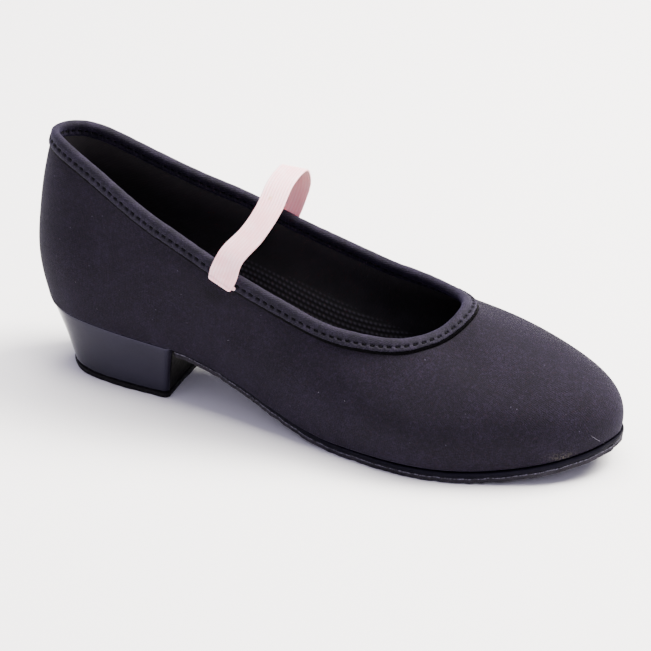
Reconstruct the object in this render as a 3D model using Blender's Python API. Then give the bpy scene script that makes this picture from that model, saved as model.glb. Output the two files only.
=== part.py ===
"""Low-heeled canvas character shoe for the right foot, empty and standing on the floor.

Run it with blender --background --python part.py, or from Blender's text editor. Lengths are in metres.
+X points to the toe, +Y to the inner side of the foot and +Z up. The origin is the centre of the heel's
lift, on the floor. Every piece is one object, named for what it is on the shoe.
"""

import math

import bmesh
import bpy
import numpy as np

MM = 0.001

# Sizes of the last, which the shoe takes its form from
FOOT_LENGTH = 238.5 * MM  # feather edge, from the back of the heel to the tip of the toe
BALL_WIDTH = 76 * MM  # feather edge across the ball of the foot
HEEL_SEAT_HEIGHT = 27 * MM  # underside of the upper over the floor, at the back of the heel
SEAT_SLOPE = 3.5  # degrees that the heel seat falls towards the toe
BACK_HEIGHT = 71 * MM  # topline over the heel seat, at the back
BALL_START = 0.58  # share of the foot's length where the sole first lies flat on the floor
BALL_END = 0.77  # share of the foot's length where the sole starts to rise to the toe
TOE_SPRING = 9 * MM  # rise of the sole's underside at the tip of the toe

# Thicknesses and clearances
CLEARANCE = 0.3 * MM  # between pieces that touch
UPPER_WALL = 1.8 * MM  # canvas and its lining
LASTING_MARGIN = 9 * MM  # upper turned in under the foot
MIDSOLE_THICKNESS = 2.0 * MM
OUTSOLE_THICKNESS = 2.4 * MM
INSOLE_THICKNESS = 2.5 * MM
BINDING_THICKNESS = 0.7 * MM
BINDING_WIDTH = 3.8 * MM  # how far the binding reaches down each side of the topline

# Sole edge beyond the feather edge
TOE_EDGE = 1.0 * MM
OUTSOLE_STEP = 0.8 * MM  # how far the outsole stands back from the midsole

# Heel and its lift
HEEL_LENGTH = 63 * MM  # from the back of the feather edge to the breast
HEEL_INSET = 0.8 * MM  # heel top inside the feather edge
HEEL_RIM = 2.0 * MM  # rim of the heel's cup, which rises round the midsole to the upper
LIFT_LENGTH = 51 * MM
LIFT_WIDTH = 46 * MM
LIFT_THICKNESS = 2.2 * MM
LIFT_LIP = 0.4 * MM  # how far the lift stands out of the heel
HEEL_BACK_RAKE = 10 * MM  # how far the back of the lift stands forward of the feather edge
BREAST_HOLLOW = 1.5 * MM  # depth of the curve of the breast across the shoe
BREAST_CORNER = 2.5 * MM  # rounding of the heel at the two edges of the breast

# Elastic strap across the instep
STRAP_WIDTH = 10.7 * MM
STRAP_THICKNESS = 1.1 * MM
STRAP_OUTER_PLACE = 0.377  # share of the foot's length where its middle leaves the outer wall
STRAP_INNER_PLACE = 0.364  # share of the foot's length where its middle meets the inner wall
STRAP_LEAN = 16  # degrees that it leans towards the toe as it rises up the wall
STRAP_HEM = 1.7 * MM  # folded end of the strap, below the binding
STRAP_ARCH = 29 * MM  # height of the arch that it makes over the opening

FORE_HEIGHT = OUTSOLE_THICKNESS + CLEARANCE + MIDSOLE_THICKNESS  # feather edge over the floor, at the ball
HEEL_BACK_X = -LIFT_LENGTH / 2 - HEEL_BACK_RAKE  # the back of the feather edge
BREAST_X = HEEL_BACK_X + HEEL_LENGTH
SEAT_EDGE = -(HEEL_INSET + HEEL_RIM + 2 * CLEARANCE)  # midsole's edge within the heel's cup

# Feather edge, where the upper meets the sole. A row for each station from the back of the heel to the toe:
# along is a share of FOOT_LENGTH; outer and inner are shares of BALL_WIDTH from the middle line
FEATHER = (
    # station       along  outer  inner
    ("heel back",   0.000, 0.000, 0.000),
    ("heel corner", 0.030, 0.200, 0.200),
    ("heel side",   0.110, 0.300, 0.300),
    ("breast",      0.232, 0.330, 0.320),
    ("waist",       0.374, 0.355, 0.280),
    ("instep",      0.505, 0.430, 0.320),
    ("outer ball",  0.626, 0.500, 0.430),
    ("inner ball",  0.738, 0.510, 0.490),
    ("toe side",    0.866, 0.378, 0.430),
    ("toe corner",  0.958, 0.205, 0.270),
    ("toe tip",     1.000, -0.030, 0.030),
)

# Topline, the edge of the opening. along is a share of FOOT_LENGTH, outer and inner are shares of
# BALL_WIDTH; outer up and inner up are heights over the underside of the foot, shares of BACK_HEIGHT
TOPLINE = (
    # station       along  outer  inner  outer up  inner up
    ("heel back",   0.012, 0.000, 0.000, 0.977,    0.977),
    ("heel corner", 0.042, 0.150, 0.150, 0.988,    0.955),
    ("heel side",   0.118, 0.235, 0.245, 0.912,    0.856),
    ("breast",      0.235, 0.330, 0.345, 0.771,    0.697),
    ("waist",       0.371, 0.372, 0.400, 0.667,    0.621),
    ("instep",      0.476, 0.380, 0.405, 0.653,    0.640),
    ("outer ball",  0.560, 0.360, 0.398, 0.612,    0.633),
    ("inner ball",  0.634, 0.300, 0.355, 0.576,    0.622),
    ("toe side",    0.685, 0.220, 0.285, 0.579,    0.623),
    ("toe corner",  0.718, 0.100, 0.185, 0.609,    0.642),
    ("toe tip",     0.732, -0.036, 0.036, 0.658,   0.658),
)

# The wall between the two. climb is how far it rises before it turns, a share of the station's height;
# flare leans it out there, in degrees. reach is how far it runs down from the topline at lean degrees under
# the level, a share of the distance between the two edges
WALL = (
    # station       climb  flare  reach  lean
    ("heel back",   0.40,  16,    0.35,  78),
    ("heel corner", 0.40,  16,    0.35,  78),
    ("heel side",   0.40,  15,    0.35,  80),
    ("breast",      0.40,  14,    0.35,  82),
    ("waist",       0.40,  14,    0.35,  82),
    ("instep",      0.44,  13,    0.35,  78),
    ("outer ball",  0.52,  12,    0.38,  70),
    ("inner ball",  0.60,  10,    0.40,  55),
    ("toe side",    0.64,  10,    0.42,  37),
    ("toe corner",  0.66,  14,    0.43,  29),
    ("toe tip",     0.66,  15,    0.44,  26),
)

# Middle of the strap over the opening. across is a share of the way from the outer topline to the inner one;
# up, over the line between the two, and forward, towards the toe, are shares of STRAP_ARCH
STRAP_WAY = (
    # forward  across  up
    (0.08,     0.03,   0.24),
    (0.26,     0.15,   0.47),
    (0.37,     0.30,   0.72),
    (0.38,     0.48,   0.93),
    (0.37,     0.68,   0.97),
    (0.30,     0.85,   0.83),
    (0.22,     0.97,   0.55),
    (0.09,     1.03,   0.22),
)

# Number of steps that the curved forms are made of
AROUND = 84  # round the shoe, an even number
WALL_STEPS = 14  # from the feather edge to the topline
HEEL_STEPS = 6  # down the heel
BREAST_STEPS = 8  # across the breast
STRAP_STEPS = 5  # along each part of the strap

COLOURS = {
    # name            red    green  blue   roughness
    "canvas":        (0.026, 0.022, 0.034, 0.90),
    "binding_tape":  (0.042, 0.036, 0.054, 0.88),
    "sock_lining":   (0.008, 0.007, 0.010, 0.70),
    "board_edge":    (0.008, 0.008, 0.012, 0.45),
    "suede":         (0.020, 0.019, 0.023, 0.95),
    "heel_cover":    (0.030, 0.029, 0.038, 0.12),
    "lift_rubber":   (0.010, 0.009, 0.013, 0.60),
    "elastic":       (0.930, 0.760, 0.790, 0.80),
}


def station_places():
    """Where each station lies on the way round the shoe: 0 at the back of the heel, along the outer side to
    0.5 at the tip of the toe, and back along the inner side to 1."""
    along = np.array([row[1] for row in FEATHER]) * FOOT_LENGTH
    half = np.array([(row[2] + row[3]) / 2 for row in FEATHER]) * BALL_WIDTH
    steps = np.hypot(np.diff(along), np.diff(half))
    outward_way = np.concatenate([[0], np.cumsum(steps)]) / (2 * steps.sum())
    return np.concatenate([outward_way, 1 - outward_way[-2:0:-1]])


def closed_spline(places, values):
    """A function of the way round: the closed cubic spline that passes through values at places."""
    count = len(places)
    gaps = np.diff(np.append(places, places[0] + 1))
    rises = np.diff(np.append(values, values[0])) / gaps
    system = np.zeros((count, count))
    for i in range(count):
        system[i, i - 1] = gaps[i]
        system[i, i] = 2 * (gaps[i - 1] + gaps[i])
        system[i, (i + 1) % count] = gaps[i - 1]
    slopes = np.linalg.solve(system, 3 * (gaps * np.roll(rises, 1) + np.roll(gaps, 1) * rises))

    def read(at):
        at = np.mod(at, 1.0)
        i = np.clip(np.searchsorted(places, at, side="right") - 1, 0, count - 1)
        after = (i + 1) % count
        t = (at - places[i]) / gaps[i]
        ends = (1 + 2 * t) * (1 - t) ** 2 * values[i] + t**2 * (3 - 2 * t) * values[after]
        bends = t * (1 - t) ** 2 * slopes[i] - t**2 * (1 - t) * slopes[after]
        return ends + gaps[i] * bends

    return read


def round_the_shoe(table, column, inner_column=None, sign=1):
    """A column of a table as a function of the way round. inner_column is read on the inner side, if it is
    another; sign is the outer side's."""
    outer = [sign * row[column] for row in table]
    inner = [row[inner_column or column] for row in table]
    return closed_spline(station_places(), np.array(outer + inner[-2:0:-1], float))


feather_along = round_the_shoe(FEATHER, 1)
feather_across = round_the_shoe(FEATHER, 2, 3, sign=-1)
topline_along = round_the_shoe(TOPLINE, 1)
topline_across = round_the_shoe(TOPLINE, 2, 3, sign=-1)
topline_up = round_the_shoe(TOPLINE, 4, 5)
wall_climb = round_the_shoe(WALL, 1)
wall_flare = round_the_shoe(WALL, 2)
wall_reach = round_the_shoe(WALL, 3)
wall_lean = round_the_shoe(WALL, 4)


def underside(x):
    """Height over the floor of the line that the upper stands on: sloping seat, waist, flat ball and rising
    toe."""
    x = np.asarray(x, float)
    slope = math.tan(math.radians(SEAT_SLOPE))
    breast_height = HEEL_SEAT_HEIGHT - slope * HEEL_LENGTH
    ball_x = HEEL_BACK_X + BALL_START * FOOT_LENGTH
    spring_x = HEEL_BACK_X + BALL_END * FOOT_LENGTH
    toe_x = HEEL_BACK_X + FOOT_LENGTH
    seat = HEEL_SEAT_HEIGHT - slope * (x - HEEL_BACK_X)
    t = np.clip((x - BREAST_X) / (ball_x - BREAST_X), 0, 1)
    drop = (1 + 2 * t) * (1 - t) ** 2 * (breast_height - FORE_HEIGHT)
    waist = FORE_HEIGHT + drop - t * (1 - t) ** 2 * (ball_x - BREAST_X) * slope
    toe = TOE_SPRING * (np.clip(x - spring_x, 0, None) / (toe_x - spring_x)) ** 2
    return np.where(x < BREAST_X, seat, waist + toe)


def feather(at):
    """Points of the feather edge, at shares of the way round."""
    x = HEEL_BACK_X + FOOT_LENGTH * feather_along(at)
    return np.stack([x, BALL_WIDTH * feather_across(at), underside(x)], -1)


def topline(at):
    """Points of the edge of the opening, at shares of the way round."""
    x = HEEL_BACK_X + FOOT_LENGTH * topline_along(at)
    up = BACK_HEIGHT * topline_up(at)
    return np.stack([x, BALL_WIDTH * topline_across(at), underside(x) + up], -1)


def outward(edge, at):
    """Level unit vectors that point out of a closed edge."""
    step = 1e-4
    run = edge(at + step) - edge(at - step)
    side = np.stack([run[..., 1], -run[..., 0], 0 * run[..., 0]], -1)
    return side / np.linalg.norm(side, axis=-1, keepdims=True)


def outer_surface(at, share):
    """The canvas's outer face: at is the way round, share runs from 0 at the sole to 1 at the topline.

    Each station is a cubic Bezier curve from the feather edge, up and over to the topline."""
    low, high = feather(at), topline(at)
    height = (high - low)[..., 2:]
    span = np.linalg.norm(high - low, axis=-1, keepdims=True)
    climb = wall_climb(at)[..., None] * height
    reach = wall_reach(at)[..., None] * span
    flare = np.radians(wall_flare(at))[..., None]
    lean = np.radians(wall_lean(at))[..., None]
    rising = np.array([0.0, 0.0, 1.0])
    first = low + climb * (np.cos(flare) * rising + np.sin(flare) * outward(feather, at))
    second = high + reach * (np.cos(lean) * outward(topline, at) - np.sin(lean) * rising)
    t = np.asarray(share)[..., None]
    return (1 - t) ** 3 * low + 3 * t * (1 - t) ** 2 * first + 3 * t**2 * (1 - t) * second + t**3 * high


def surface_normal(at, share):
    """Unit vectors square to the outer face, pointing out."""
    step = 1e-4
    share = np.clip(share, step, 1 - step)
    round_step = outer_surface(at + step, share) - outer_surface(at - step, share)
    rise_step = outer_surface(at, share + step) - outer_surface(at, share - step)
    normal = np.cross(round_step, rise_step)
    return normal / np.linalg.norm(normal, axis=-1, keepdims=True)


def share_below_topline(at, distance):
    """The share at which the outer face lies a distance down from the topline, which is short of lowest."""
    steps, lowest = 80, 0.4
    shares = np.linspace(1, lowest, steps)
    line = outer_surface(np.full(steps, at), shares)
    walked = np.concatenate([[0], np.cumsum(np.linalg.norm(np.diff(line, axis=0), axis=1))])
    return float(np.interp(distance, walked, shares))


def wall_point(at, distance, offset):
    """A point a distance down from the topline and an offset out of the middle of the wall."""
    share = share_below_topline(at, max(distance, 0))
    at, share = np.array(at), np.array(share)
    normal = surface_normal(at, share)
    point = outer_surface(at, share) + normal * (offset - UPPER_WALL / 2)
    if distance < 0:
        line = outer_surface(at, np.array(1.0)) - outer_surface(at, np.array(0.99))
        point = point - distance * line / np.linalg.norm(line)
    return point


def place_at(x, edge=feather):
    """The way round, on the outer side, at which an edge passes x."""
    ways = np.linspace(0, 0.5, 2001)
    return float(np.interp(x, edge(ways)[:, 0], ways))


def material(name):
    red, green, blue, roughness = COLOURS[name]
    made = bpy.data.materials.new(name)
    made.use_nodes = True
    shader = made.node_tree.nodes["Principled BSDF"]
    shader.inputs["Base Color"].default_value = (red, green, blue, 1)
    shader.inputs["Roughness"].default_value = roughness
    shader.inputs["Metallic"].default_value = 0
    made.diffuse_color = (red, green, blue, 1)
    return made


def solid(name, points, faces, finish):
    """One object from points and faces, with doubled points joined and faces turned outwards."""
    mesh = bpy.data.meshes.new(name)
    mesh.from_pydata(np.asarray(points).reshape(-1, 3).tolist(), [], faces)
    work = bmesh.new()
    work.from_mesh(mesh)
    bmesh.ops.remove_doubles(work, verts=work.verts, dist=1e-6)
    bmesh.ops.recalc_face_normals(work, faces=work.faces)
    work.to_mesh(mesh)
    work.free()
    mesh.shade_smooth()
    mesh.set_sharp_from_angle(angle=math.radians(40))
    made = bpy.data.objects.new(name, mesh)
    made.data.materials.append(material(finish))
    bpy.context.scene.collection.objects.link(made)
    return made


def ring_faces(rings, points, closed):
    """Quads between rings of points. A closed set of rings joins its last ring to its first."""
    faces = []
    for i in range(rings if closed else rings - 1):
        after = (i + 1) % rings
        for k in range(points):
            beside = (k + 1) % points
            faces.append((i * points + k, after * points + k, after * points + beside, i * points + beside))
    return faces


def plate(name, rings, finish):
    """A plate from closed rings that start at the back of the heel, the lowest face's first. The first and
    last are filled with strips across the shoe, so that each face follows the bend of the sole."""
    rings = np.asarray(rings)
    count = rings.shape[1]
    faces = ring_faces(len(rings), count, closed=False)
    for first in (0, (len(rings) - 1) * count):
        for i in range(count // 2):
            strip = (i, i + 1, count - i - 1, (count - i) % count)
            faces.append(tuple(first + k for k in dict.fromkeys(strip)))
    return solid(name, rings, faces, finish)


def sole_ring(offset, height):
    """The feather edge moved out by offset(x) and up by a height."""
    ways = np.arange(AROUND) / AROUND
    ring = feather(ways)
    ring = ring + outward(feather, ways) * np.array([offset(x) for x in ring[:, 0]])[:, None]
    ring[:, 2] = underside(ring[:, 0]) + height
    return ring


def sole_sides(offset, start_x):
    """The outer and the inner side of the sole from start_x to the toe, moved out by offset(x), with the same
    x in each row."""
    ways = np.linspace(place_at(start_x), 0.5, AROUND // 2 + 1)
    sides = []
    for side_ways in (ways, 1 - ways):
        edge = feather(side_ways)
        out_by = np.array([offset(x) for x in edge[:, 0]])
        sides.append(edge + outward(feather, side_ways) * out_by[:, None])
    outer, inner = sides
    outer[:, 0] = inner[:, 0] = (outer[:, 0] + inner[:, 0]) / 2
    outer[0, 0] = inner[0, 0] = start_x
    return outer, inner


def sole_edge(x):
    """How far the midsole stands out of the feather edge: inside the heel's cup, drawn in at the waist and
    proud at the toe."""
    share = np.clip((x - BREAST_X) / (FOOT_LENGTH - HEEL_LENGTH), 0, 1)
    return SEAT_EDGE + (TOE_EDGE - SEAT_EDGE) * share * (2 - share)


def make_upper():
    """Canvas and lining as one lasted shell: turned in under the foot, and up the wall to the topline."""
    ways = np.arange(AROUND) / AROUND
    shares = np.linspace(0, 1, WALL_STEPS + 1)
    at, share = np.meshgrid(ways, shares, indexing="ij")
    outer = outer_surface(at, share)
    outer[:, 0, 2] += CLEARANCE
    inner = outer_surface(at, share) - UPPER_WALL * surface_normal(at, share)
    edge = feather(ways)
    out = outward(feather, ways)
    inner[:, 0] = edge - UPPER_WALL * out
    inner[:, 0, 2] = underside(inner[:, 0, 0]) + CLEARANCE + UPPER_WALL
    turned = edge - LASTING_MARGIN * out
    turned[:, 2] = underside(turned[:, 0]) + CLEARANCE
    turned_top = turned + (0, 0, UPPER_WALL)
    sections = np.concatenate([turned[:, None], outer, inner[:, ::-1], turned_top[:, None]], axis=1)
    return solid("upper", sections, ring_faces(AROUND, sections.shape[1], closed=True), "canvas")


def binding_section(at):
    """Section of the tape folded over the topline: its outer face, then the channel for the wall."""
    half_channel = UPPER_WALL / 2 + CLEARANCE
    half_tape = half_channel + BINDING_THICKNESS
    depths = (BINDING_WIDTH, BINDING_WIDTH / 2, 0)
    section = [wall_point(at, depth, half_tape) for depth in depths]
    middle = wall_point(at, 0, 0)
    side = (section[-1] - middle) / half_tape
    top = wall_point(at, -half_tape, 0) - middle
    top = top / np.linalg.norm(top)
    for degrees in (45, 90, 135):
        turn = math.radians(degrees)
        section.append(middle + half_tape * (math.cos(turn) * side + math.sin(turn) * top))
    section += [wall_point(at, depth, -half_tape) for depth in reversed(depths)]
    section += [wall_point(at, depth, -half_channel) for depth in depths[:2]]
    section.append(middle - half_channel * side + CLEARANCE * top)
    section.append(middle + half_channel * side + CLEARANCE * top)
    section += [wall_point(at, depth, half_channel) for depth in reversed(depths[:2])]
    return section


def make_binding():
    sections = np.array([binding_section(i / AROUND) for i in range(AROUND)])
    faces = ring_faces(AROUND, sections.shape[1], closed=True)
    return solid("topline_binding", sections, faces, "binding_tape")


def make_insole():
    inset = -(UPPER_WALL + 2 * CLEARANCE)
    base = UPPER_WALL + 2 * CLEARANCE
    rings = [sole_ring(lambda x: inset, height) for height in (base, base + INSOLE_THICKNESS)]
    return plate("insole", rings, "sock_lining")


def make_midsole():
    """The board that the upper is lasted to, with its middle raised to fill the space between the turned-in
    edges."""
    middle = -(LASTING_MARGIN + CLEARANCE)
    rings = [
        sole_ring(sole_edge, -MIDSOLE_THICKNESS),
        sole_ring(sole_edge, 0),
        sole_ring(lambda x: middle, 0),
        sole_ring(lambda x: middle, CLEARANCE + UPPER_WALL),
    ]
    return plate("midsole", rings, "board_edge")


def make_outsole():
    """The suede sole, from the breast of the heel to the toe."""
    outer, inner = sole_sides(lambda x: sole_edge(x) - OUTSOLE_STEP, BREAST_X + CLEARANCE)
    top = underside(outer[:, 0]) - MIDSOLE_THICKNESS - CLEARANCE
    rows = []
    for a, b, height in zip(outer, inner, top):
        low = height - OUTSOLE_THICKNESS
        rows.append([(*a[:2], height), (*b[:2], height), (*b[:2], low), (*a[:2], low)])
    faces = ring_faces(len(rows), 4, closed=False)
    faces += [(0, 1, 2, 3), tuple(4 * (len(rows) - 1) + k for k in (3, 2, 1, 0))]
    return solid("outsole", rows, faces, "suede")


def heel_outline(inset, corner, behind):
    """Closed outline of the heel's top, inside the feather edge by inset: back along the outer side from
    the breast, round the back and forward along the inner side, then past a corner and across the slightly
    hollow breast, which lies behind BREAST_X by a distance."""
    breast_way = place_at(BREAST_X - BREAST_CORNER)
    ways = np.linspace(breast_way, -breast_way, AROUND // 3)
    back = feather(ways) - inset * outward(feather, ways)
    inner, outer = back[-1], back[0]
    breast = []
    for i in range(BREAST_STEPS + 1):
        share = i / BREAST_STEPS
        y = (inner[1] - corner) * (1 - share) + (outer[1] + corner) * share
        breast.append((BREAST_X - behind - BREAST_HOLLOW * math.sin(math.pi * share), y, 0))
    return np.array([*back, *breast])


def heel_ring(share, length, width):
    """The heel's outline at a share of the way down to an outline of this length and width on the floor."""
    ring = heel_outline(HEEL_INSET, BREAST_CORNER, 0)
    low, high = ring.min(axis=0), ring.max(axis=0)
    floor_x = (ring[:, 0] - (low[0] + high[0]) / 2) * length / (high[0] - low[0])
    floor_y = (ring[:, 1] - (low[1] + high[1]) / 2) * width / (high[1] - low[1])
    ring[:, 0] += (floor_x - ring[:, 0]) * share
    ring[:, 1] += (floor_y - ring[:, 1]) * share
    return ring


def stacked(name, rings, finish):
    """A solid through closed rings with the same number of points, capped at both ends."""
    count = len(rings[0])
    faces = ring_faces(len(rings), count, closed=False)
    faces += [tuple(range(count)), tuple(range((len(rings) - 1) * count, len(rings) * count))]
    return solid(name, rings, faces, finish)


def make_heel():
    """The heel: a cup whose rim rises to the upper round the midsole, open at the breast, over a block that
    narrows to the lift."""
    bottom = LIFT_THICKNESS + CLEARANCE
    seat = heel_outline(HEEL_INSET + HEEL_RIM, 0, HEEL_RIM)
    seat[:, 2] = underside(seat[:, 0]) - MIDSOLE_THICKNESS - CLEARANCE
    rim = seat.copy()
    rim_points = len(rim) - (BREAST_STEPS + 1)
    rim[:rim_points, 2] = underside(rim[:rim_points, 0])
    top = heel_ring(0, LIFT_LENGTH, LIFT_WIDTH)
    top[:, 2] = underside(top[:, 0])
    top[rim_points:, 2] -= MIDSOLE_THICKNESS + CLEARANCE
    rings = [seat, rim]
    for i in range(HEEL_STEPS + 1):
        share = i / HEEL_STEPS
        ring = heel_ring(share, LIFT_LENGTH - 2 * LIFT_LIP, LIFT_WIDTH - 2 * LIFT_LIP)
        ring[:, 2] = top[:, 2] + (bottom - top[:, 2]) * share
        rings.append(ring)
    return stacked("heel", rings, "heel_cover")


def make_lift():
    rings = []
    for height in (LIFT_THICKNESS, 0):
        ring = heel_ring(1, LIFT_LENGTH, LIFT_WIDTH)
        ring[:, 2] = height
        rings.append(ring)
    return stacked("heel_lift", rings, "lift_rubber")


def smooth_line(points, steps):
    """A smooth open curve through points, with a number of even steps between each pair (Catmull-Rom)."""
    ends = np.array([2 * points[0] - points[1], *points, 2 * points[-1] - points[-2]])
    line = []
    for i in range(1, len(ends) - 2):
        before, start, end, after = ends[i - 1 : i + 3]
        for t in np.arange(steps) / steps:
            line.append(
                start
                + t / 2 * (end - before)
                + t**2 / 2 * (2 * before - 5 * start + 4 * end - after)
                + t**3 / 2 * (3 * start - before - 3 * end + after)
            )
    return np.array([*line, points[-1]])


def strap_way(place, side, depth):
    """The way round at which the strap lies on the outer wall at a depth: behind (side -1), at (0) or before
    (1) its middle, which leaves the topline at a place."""
    lean = math.radians(STRAP_LEAN)
    sideways = side * STRAP_WIDTH / 2 / math.cos(lean) - depth * math.tan(lean)
    return place_at(HEEL_BACK_X + place * FOOT_LENGTH + sideways, topline)


def strap_arch():
    """Points of the strap's middle over the opening, and unit vectors across it towards the toe, square to its
    run."""
    start = topline(np.array(strap_way(STRAP_OUTER_PLACE, 0, 0)))
    end = topline(np.array(1 - strap_way(STRAP_INNER_PLACE, 0, 0)))
    middle = [
        start + (end - start) * across + (STRAP_ARCH * forward, 0, STRAP_ARCH * up)
        for forward, across, up in STRAP_WAY
    ]
    run = np.gradient(np.array([start, *middle, end]), axis=0)[1:-1]
    run /= np.linalg.norm(run, axis=1, keepdims=True)
    ahead = np.array([1.0, 0, 0]) - run[:, :1] * run
    return np.array(middle), ahead / np.linalg.norm(ahead, axis=1, keepdims=True)


def strap_edge(side):
    """One edge of the strap's inner face, behind (side -1) or before (side 1) its middle: up the outer
    wall, over the opening and down the inner wall. On a wall both edges lie at the same depths."""
    off = UPPER_WALL / 2 + CLEARANCE + BINDING_THICKNESS + CLEARANCE

    def outer_wall(depth):
        return wall_point(strap_way(STRAP_OUTER_PLACE, side, depth), depth, off)

    def inner_wall(depth):
        return wall_point(1 - strap_way(STRAP_INNER_PLACE, side, depth), depth, off)

    middle, ahead = strap_arch()
    depths = (BINDING_WIDTH + CLEARANCE, BINDING_WIDTH / 2, 0)
    rising = [outer_wall(depth) for depth in depths]
    falling = [inner_wall(depth) for depth in reversed(depths)]
    over = middle + side * STRAP_WIDTH / 2 * ahead
    line = smooth_line(np.array([*rising, *over, *falling]), STRAP_STEPS)
    lowest = BINDING_WIDTH + STRAP_HEM
    hem = [BINDING_WIDTH + CLEARANCE * 2, lowest - STRAP_THICKNESS / 2, lowest]
    outer_hem = [outer_wall(depth) for depth in reversed(hem)]
    inner_hem = [inner_wall(depth) for depth in hem]
    return np.array([*outer_hem, *line, *inner_hem])


def make_strap():
    """The elastic: a flat band with both ends folded under into a hem twice as thick, below the binding."""
    back, front = strap_edge(-1), strap_edge(1)
    count = len(back)
    run = np.gradient((back + front) / 2, axis=0)
    out = np.cross(front - back, run)
    out /= np.linalg.norm(out, axis=1, keepdims=True)
    fold = BINDING_THICKNESS + CLEARANCE
    inward = np.zeros((count, 1))
    inward[[0, -1]] = fold / 2
    inward[[1, 2, -3, -2]] = fold
    outward_by = np.full((count, 1), STRAP_THICKNESS)
    outward_by[[0, -1]] = STRAP_THICKNESS / 2
    inner_face = [back - inward * out, front - inward * out]
    outer_face = [front + outward_by * out, back + outward_by * out]
    sections = np.stack(inner_face + outer_face, axis=1)
    faces = ring_faces(count, 4, closed=False)
    faces += [(0, 1, 2, 3), tuple(4 * (count - 1) + k for k in (3, 2, 1, 0))]
    return solid("strap", sections, faces, "elastic")


def clear_scene():
    for old in list(bpy.data.objects):
        bpy.data.objects.remove(old)


def main():
    clear_scene()
    make_upper()
    make_binding()
    make_insole()
    make_midsole()
    make_outsole()
    make_heel()
    make_lift()
    make_strap()


main()
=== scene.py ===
"""Looks of the canvas character shoe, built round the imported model: one right shoe, empty, on a pale floor.

Lengths are in metres. +X points to the toe, +Y to the inner side of the foot and +Z up. The upper, its binding
and the sole are worked out from the same few curves as the solids: a feather edge, where the upper meets the
sole, a topline, which is the edge of the opening, and a wall between the two.
"""

import math
from functools import partial

import bmesh
import bpy
import numpy as np
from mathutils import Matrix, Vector


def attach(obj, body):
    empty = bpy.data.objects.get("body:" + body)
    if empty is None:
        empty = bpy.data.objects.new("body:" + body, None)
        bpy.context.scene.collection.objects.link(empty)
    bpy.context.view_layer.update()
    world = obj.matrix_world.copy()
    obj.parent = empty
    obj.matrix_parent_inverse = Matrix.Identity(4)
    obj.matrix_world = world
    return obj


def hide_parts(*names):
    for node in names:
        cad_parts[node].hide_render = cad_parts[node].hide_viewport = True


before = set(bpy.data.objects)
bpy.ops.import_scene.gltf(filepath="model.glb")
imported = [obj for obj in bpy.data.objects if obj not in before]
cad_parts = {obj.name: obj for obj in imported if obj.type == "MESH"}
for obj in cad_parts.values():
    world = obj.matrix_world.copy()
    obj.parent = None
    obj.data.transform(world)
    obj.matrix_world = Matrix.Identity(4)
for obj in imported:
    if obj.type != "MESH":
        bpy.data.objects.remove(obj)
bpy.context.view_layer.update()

MM = 0.001
RANDOM = np.random.default_rng(7)

# Sizes, the same as the solids'
FOOT_LENGTH = 238.5 * MM
BALL_WIDTH = 76 * MM
HEEL_SEAT_HEIGHT = 27 * MM
SEAT_SLOPE = 3.5  # degrees
BACK_HEIGHT = 71 * MM
BALL_START = 0.58
BALL_END = 0.77
TOE_SPRING = 9 * MM
CLEARANCE = 0.3 * MM
UPPER_WALL = 1.8 * MM
LASTING_MARGIN = 9 * MM
MIDSOLE_THICKNESS = 2.0 * MM
OUTSOLE_THICKNESS = 2.4 * MM
INSOLE_THICKNESS = 2.5 * MM
BINDING_THICKNESS = 0.7 * MM
BINDING_WIDTH = 3.8 * MM
TOE_EDGE = 1.0 * MM
OUTSOLE_STEP = 0.8 * MM
HEEL_LENGTH = 63 * MM
HEEL_INSET = 0.8 * MM
HEEL_RIM = 2.0 * MM
LIFT_LENGTH = 51 * MM
LIFT_WIDTH = 46 * MM
LIFT_THICKNESS = 2.2 * MM
LIFT_LIP = 0.4 * MM
HEEL_BACK_RAKE = 10 * MM
BREAST_HOLLOW = 1.5 * MM
BREAST_CORNER = 2.5 * MM
STRAP_WIDTH = 10.7 * MM
STRAP_THICKNESS = 1.1 * MM
STRAP_OUTER_PLACE = 0.377
STRAP_INNER_PLACE = 0.364
STRAP_LEAN = 16  # degrees
STRAP_HEM = 1.7 * MM
STRAP_ARCH = 29 * MM

FORE_HEIGHT = OUTSOLE_THICKNESS + CLEARANCE + MIDSOLE_THICKNESS
HEEL_BACK_X = -LIFT_LENGTH / 2 - HEEL_BACK_RAKE
BREAST_X = HEEL_BACK_X + HEEL_LENGTH
SEAT_EDGE = -(HEEL_INSET + HEEL_RIM + 2 * CLEARANCE)

FEATHER = np.array([
    # along  outer  inner
    [0.000, 0.000, 0.000],
    [0.030, 0.200, 0.200],
    [0.110, 0.300, 0.300],
    [0.232, 0.330, 0.320],
    [0.374, 0.355, 0.280],
    [0.505, 0.430, 0.320],
    [0.626, 0.500, 0.430],
    [0.738, 0.510, 0.490],
    [0.866, 0.378, 0.430],
    [0.958, 0.205, 0.270],
    [1.000, -0.030, 0.030],
])
TOPLINE = np.array([
    # along  outer  inner  outer up  inner up
    [0.012, 0.000, 0.000, 0.977, 0.977],
    [0.042, 0.150, 0.150, 0.988, 0.955],
    [0.118, 0.235, 0.245, 0.912, 0.856],
    [0.235, 0.330, 0.345, 0.771, 0.697],
    [0.371, 0.372, 0.400, 0.667, 0.621],
    [0.476, 0.380, 0.405, 0.653, 0.640],
    [0.560, 0.360, 0.398, 0.612, 0.633],
    [0.634, 0.300, 0.355, 0.576, 0.622],
    [0.685, 0.220, 0.285, 0.579, 0.623],
    [0.718, 0.100, 0.185, 0.609, 0.642],
    [0.732, -0.036, 0.036, 0.658, 0.658],
])
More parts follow.
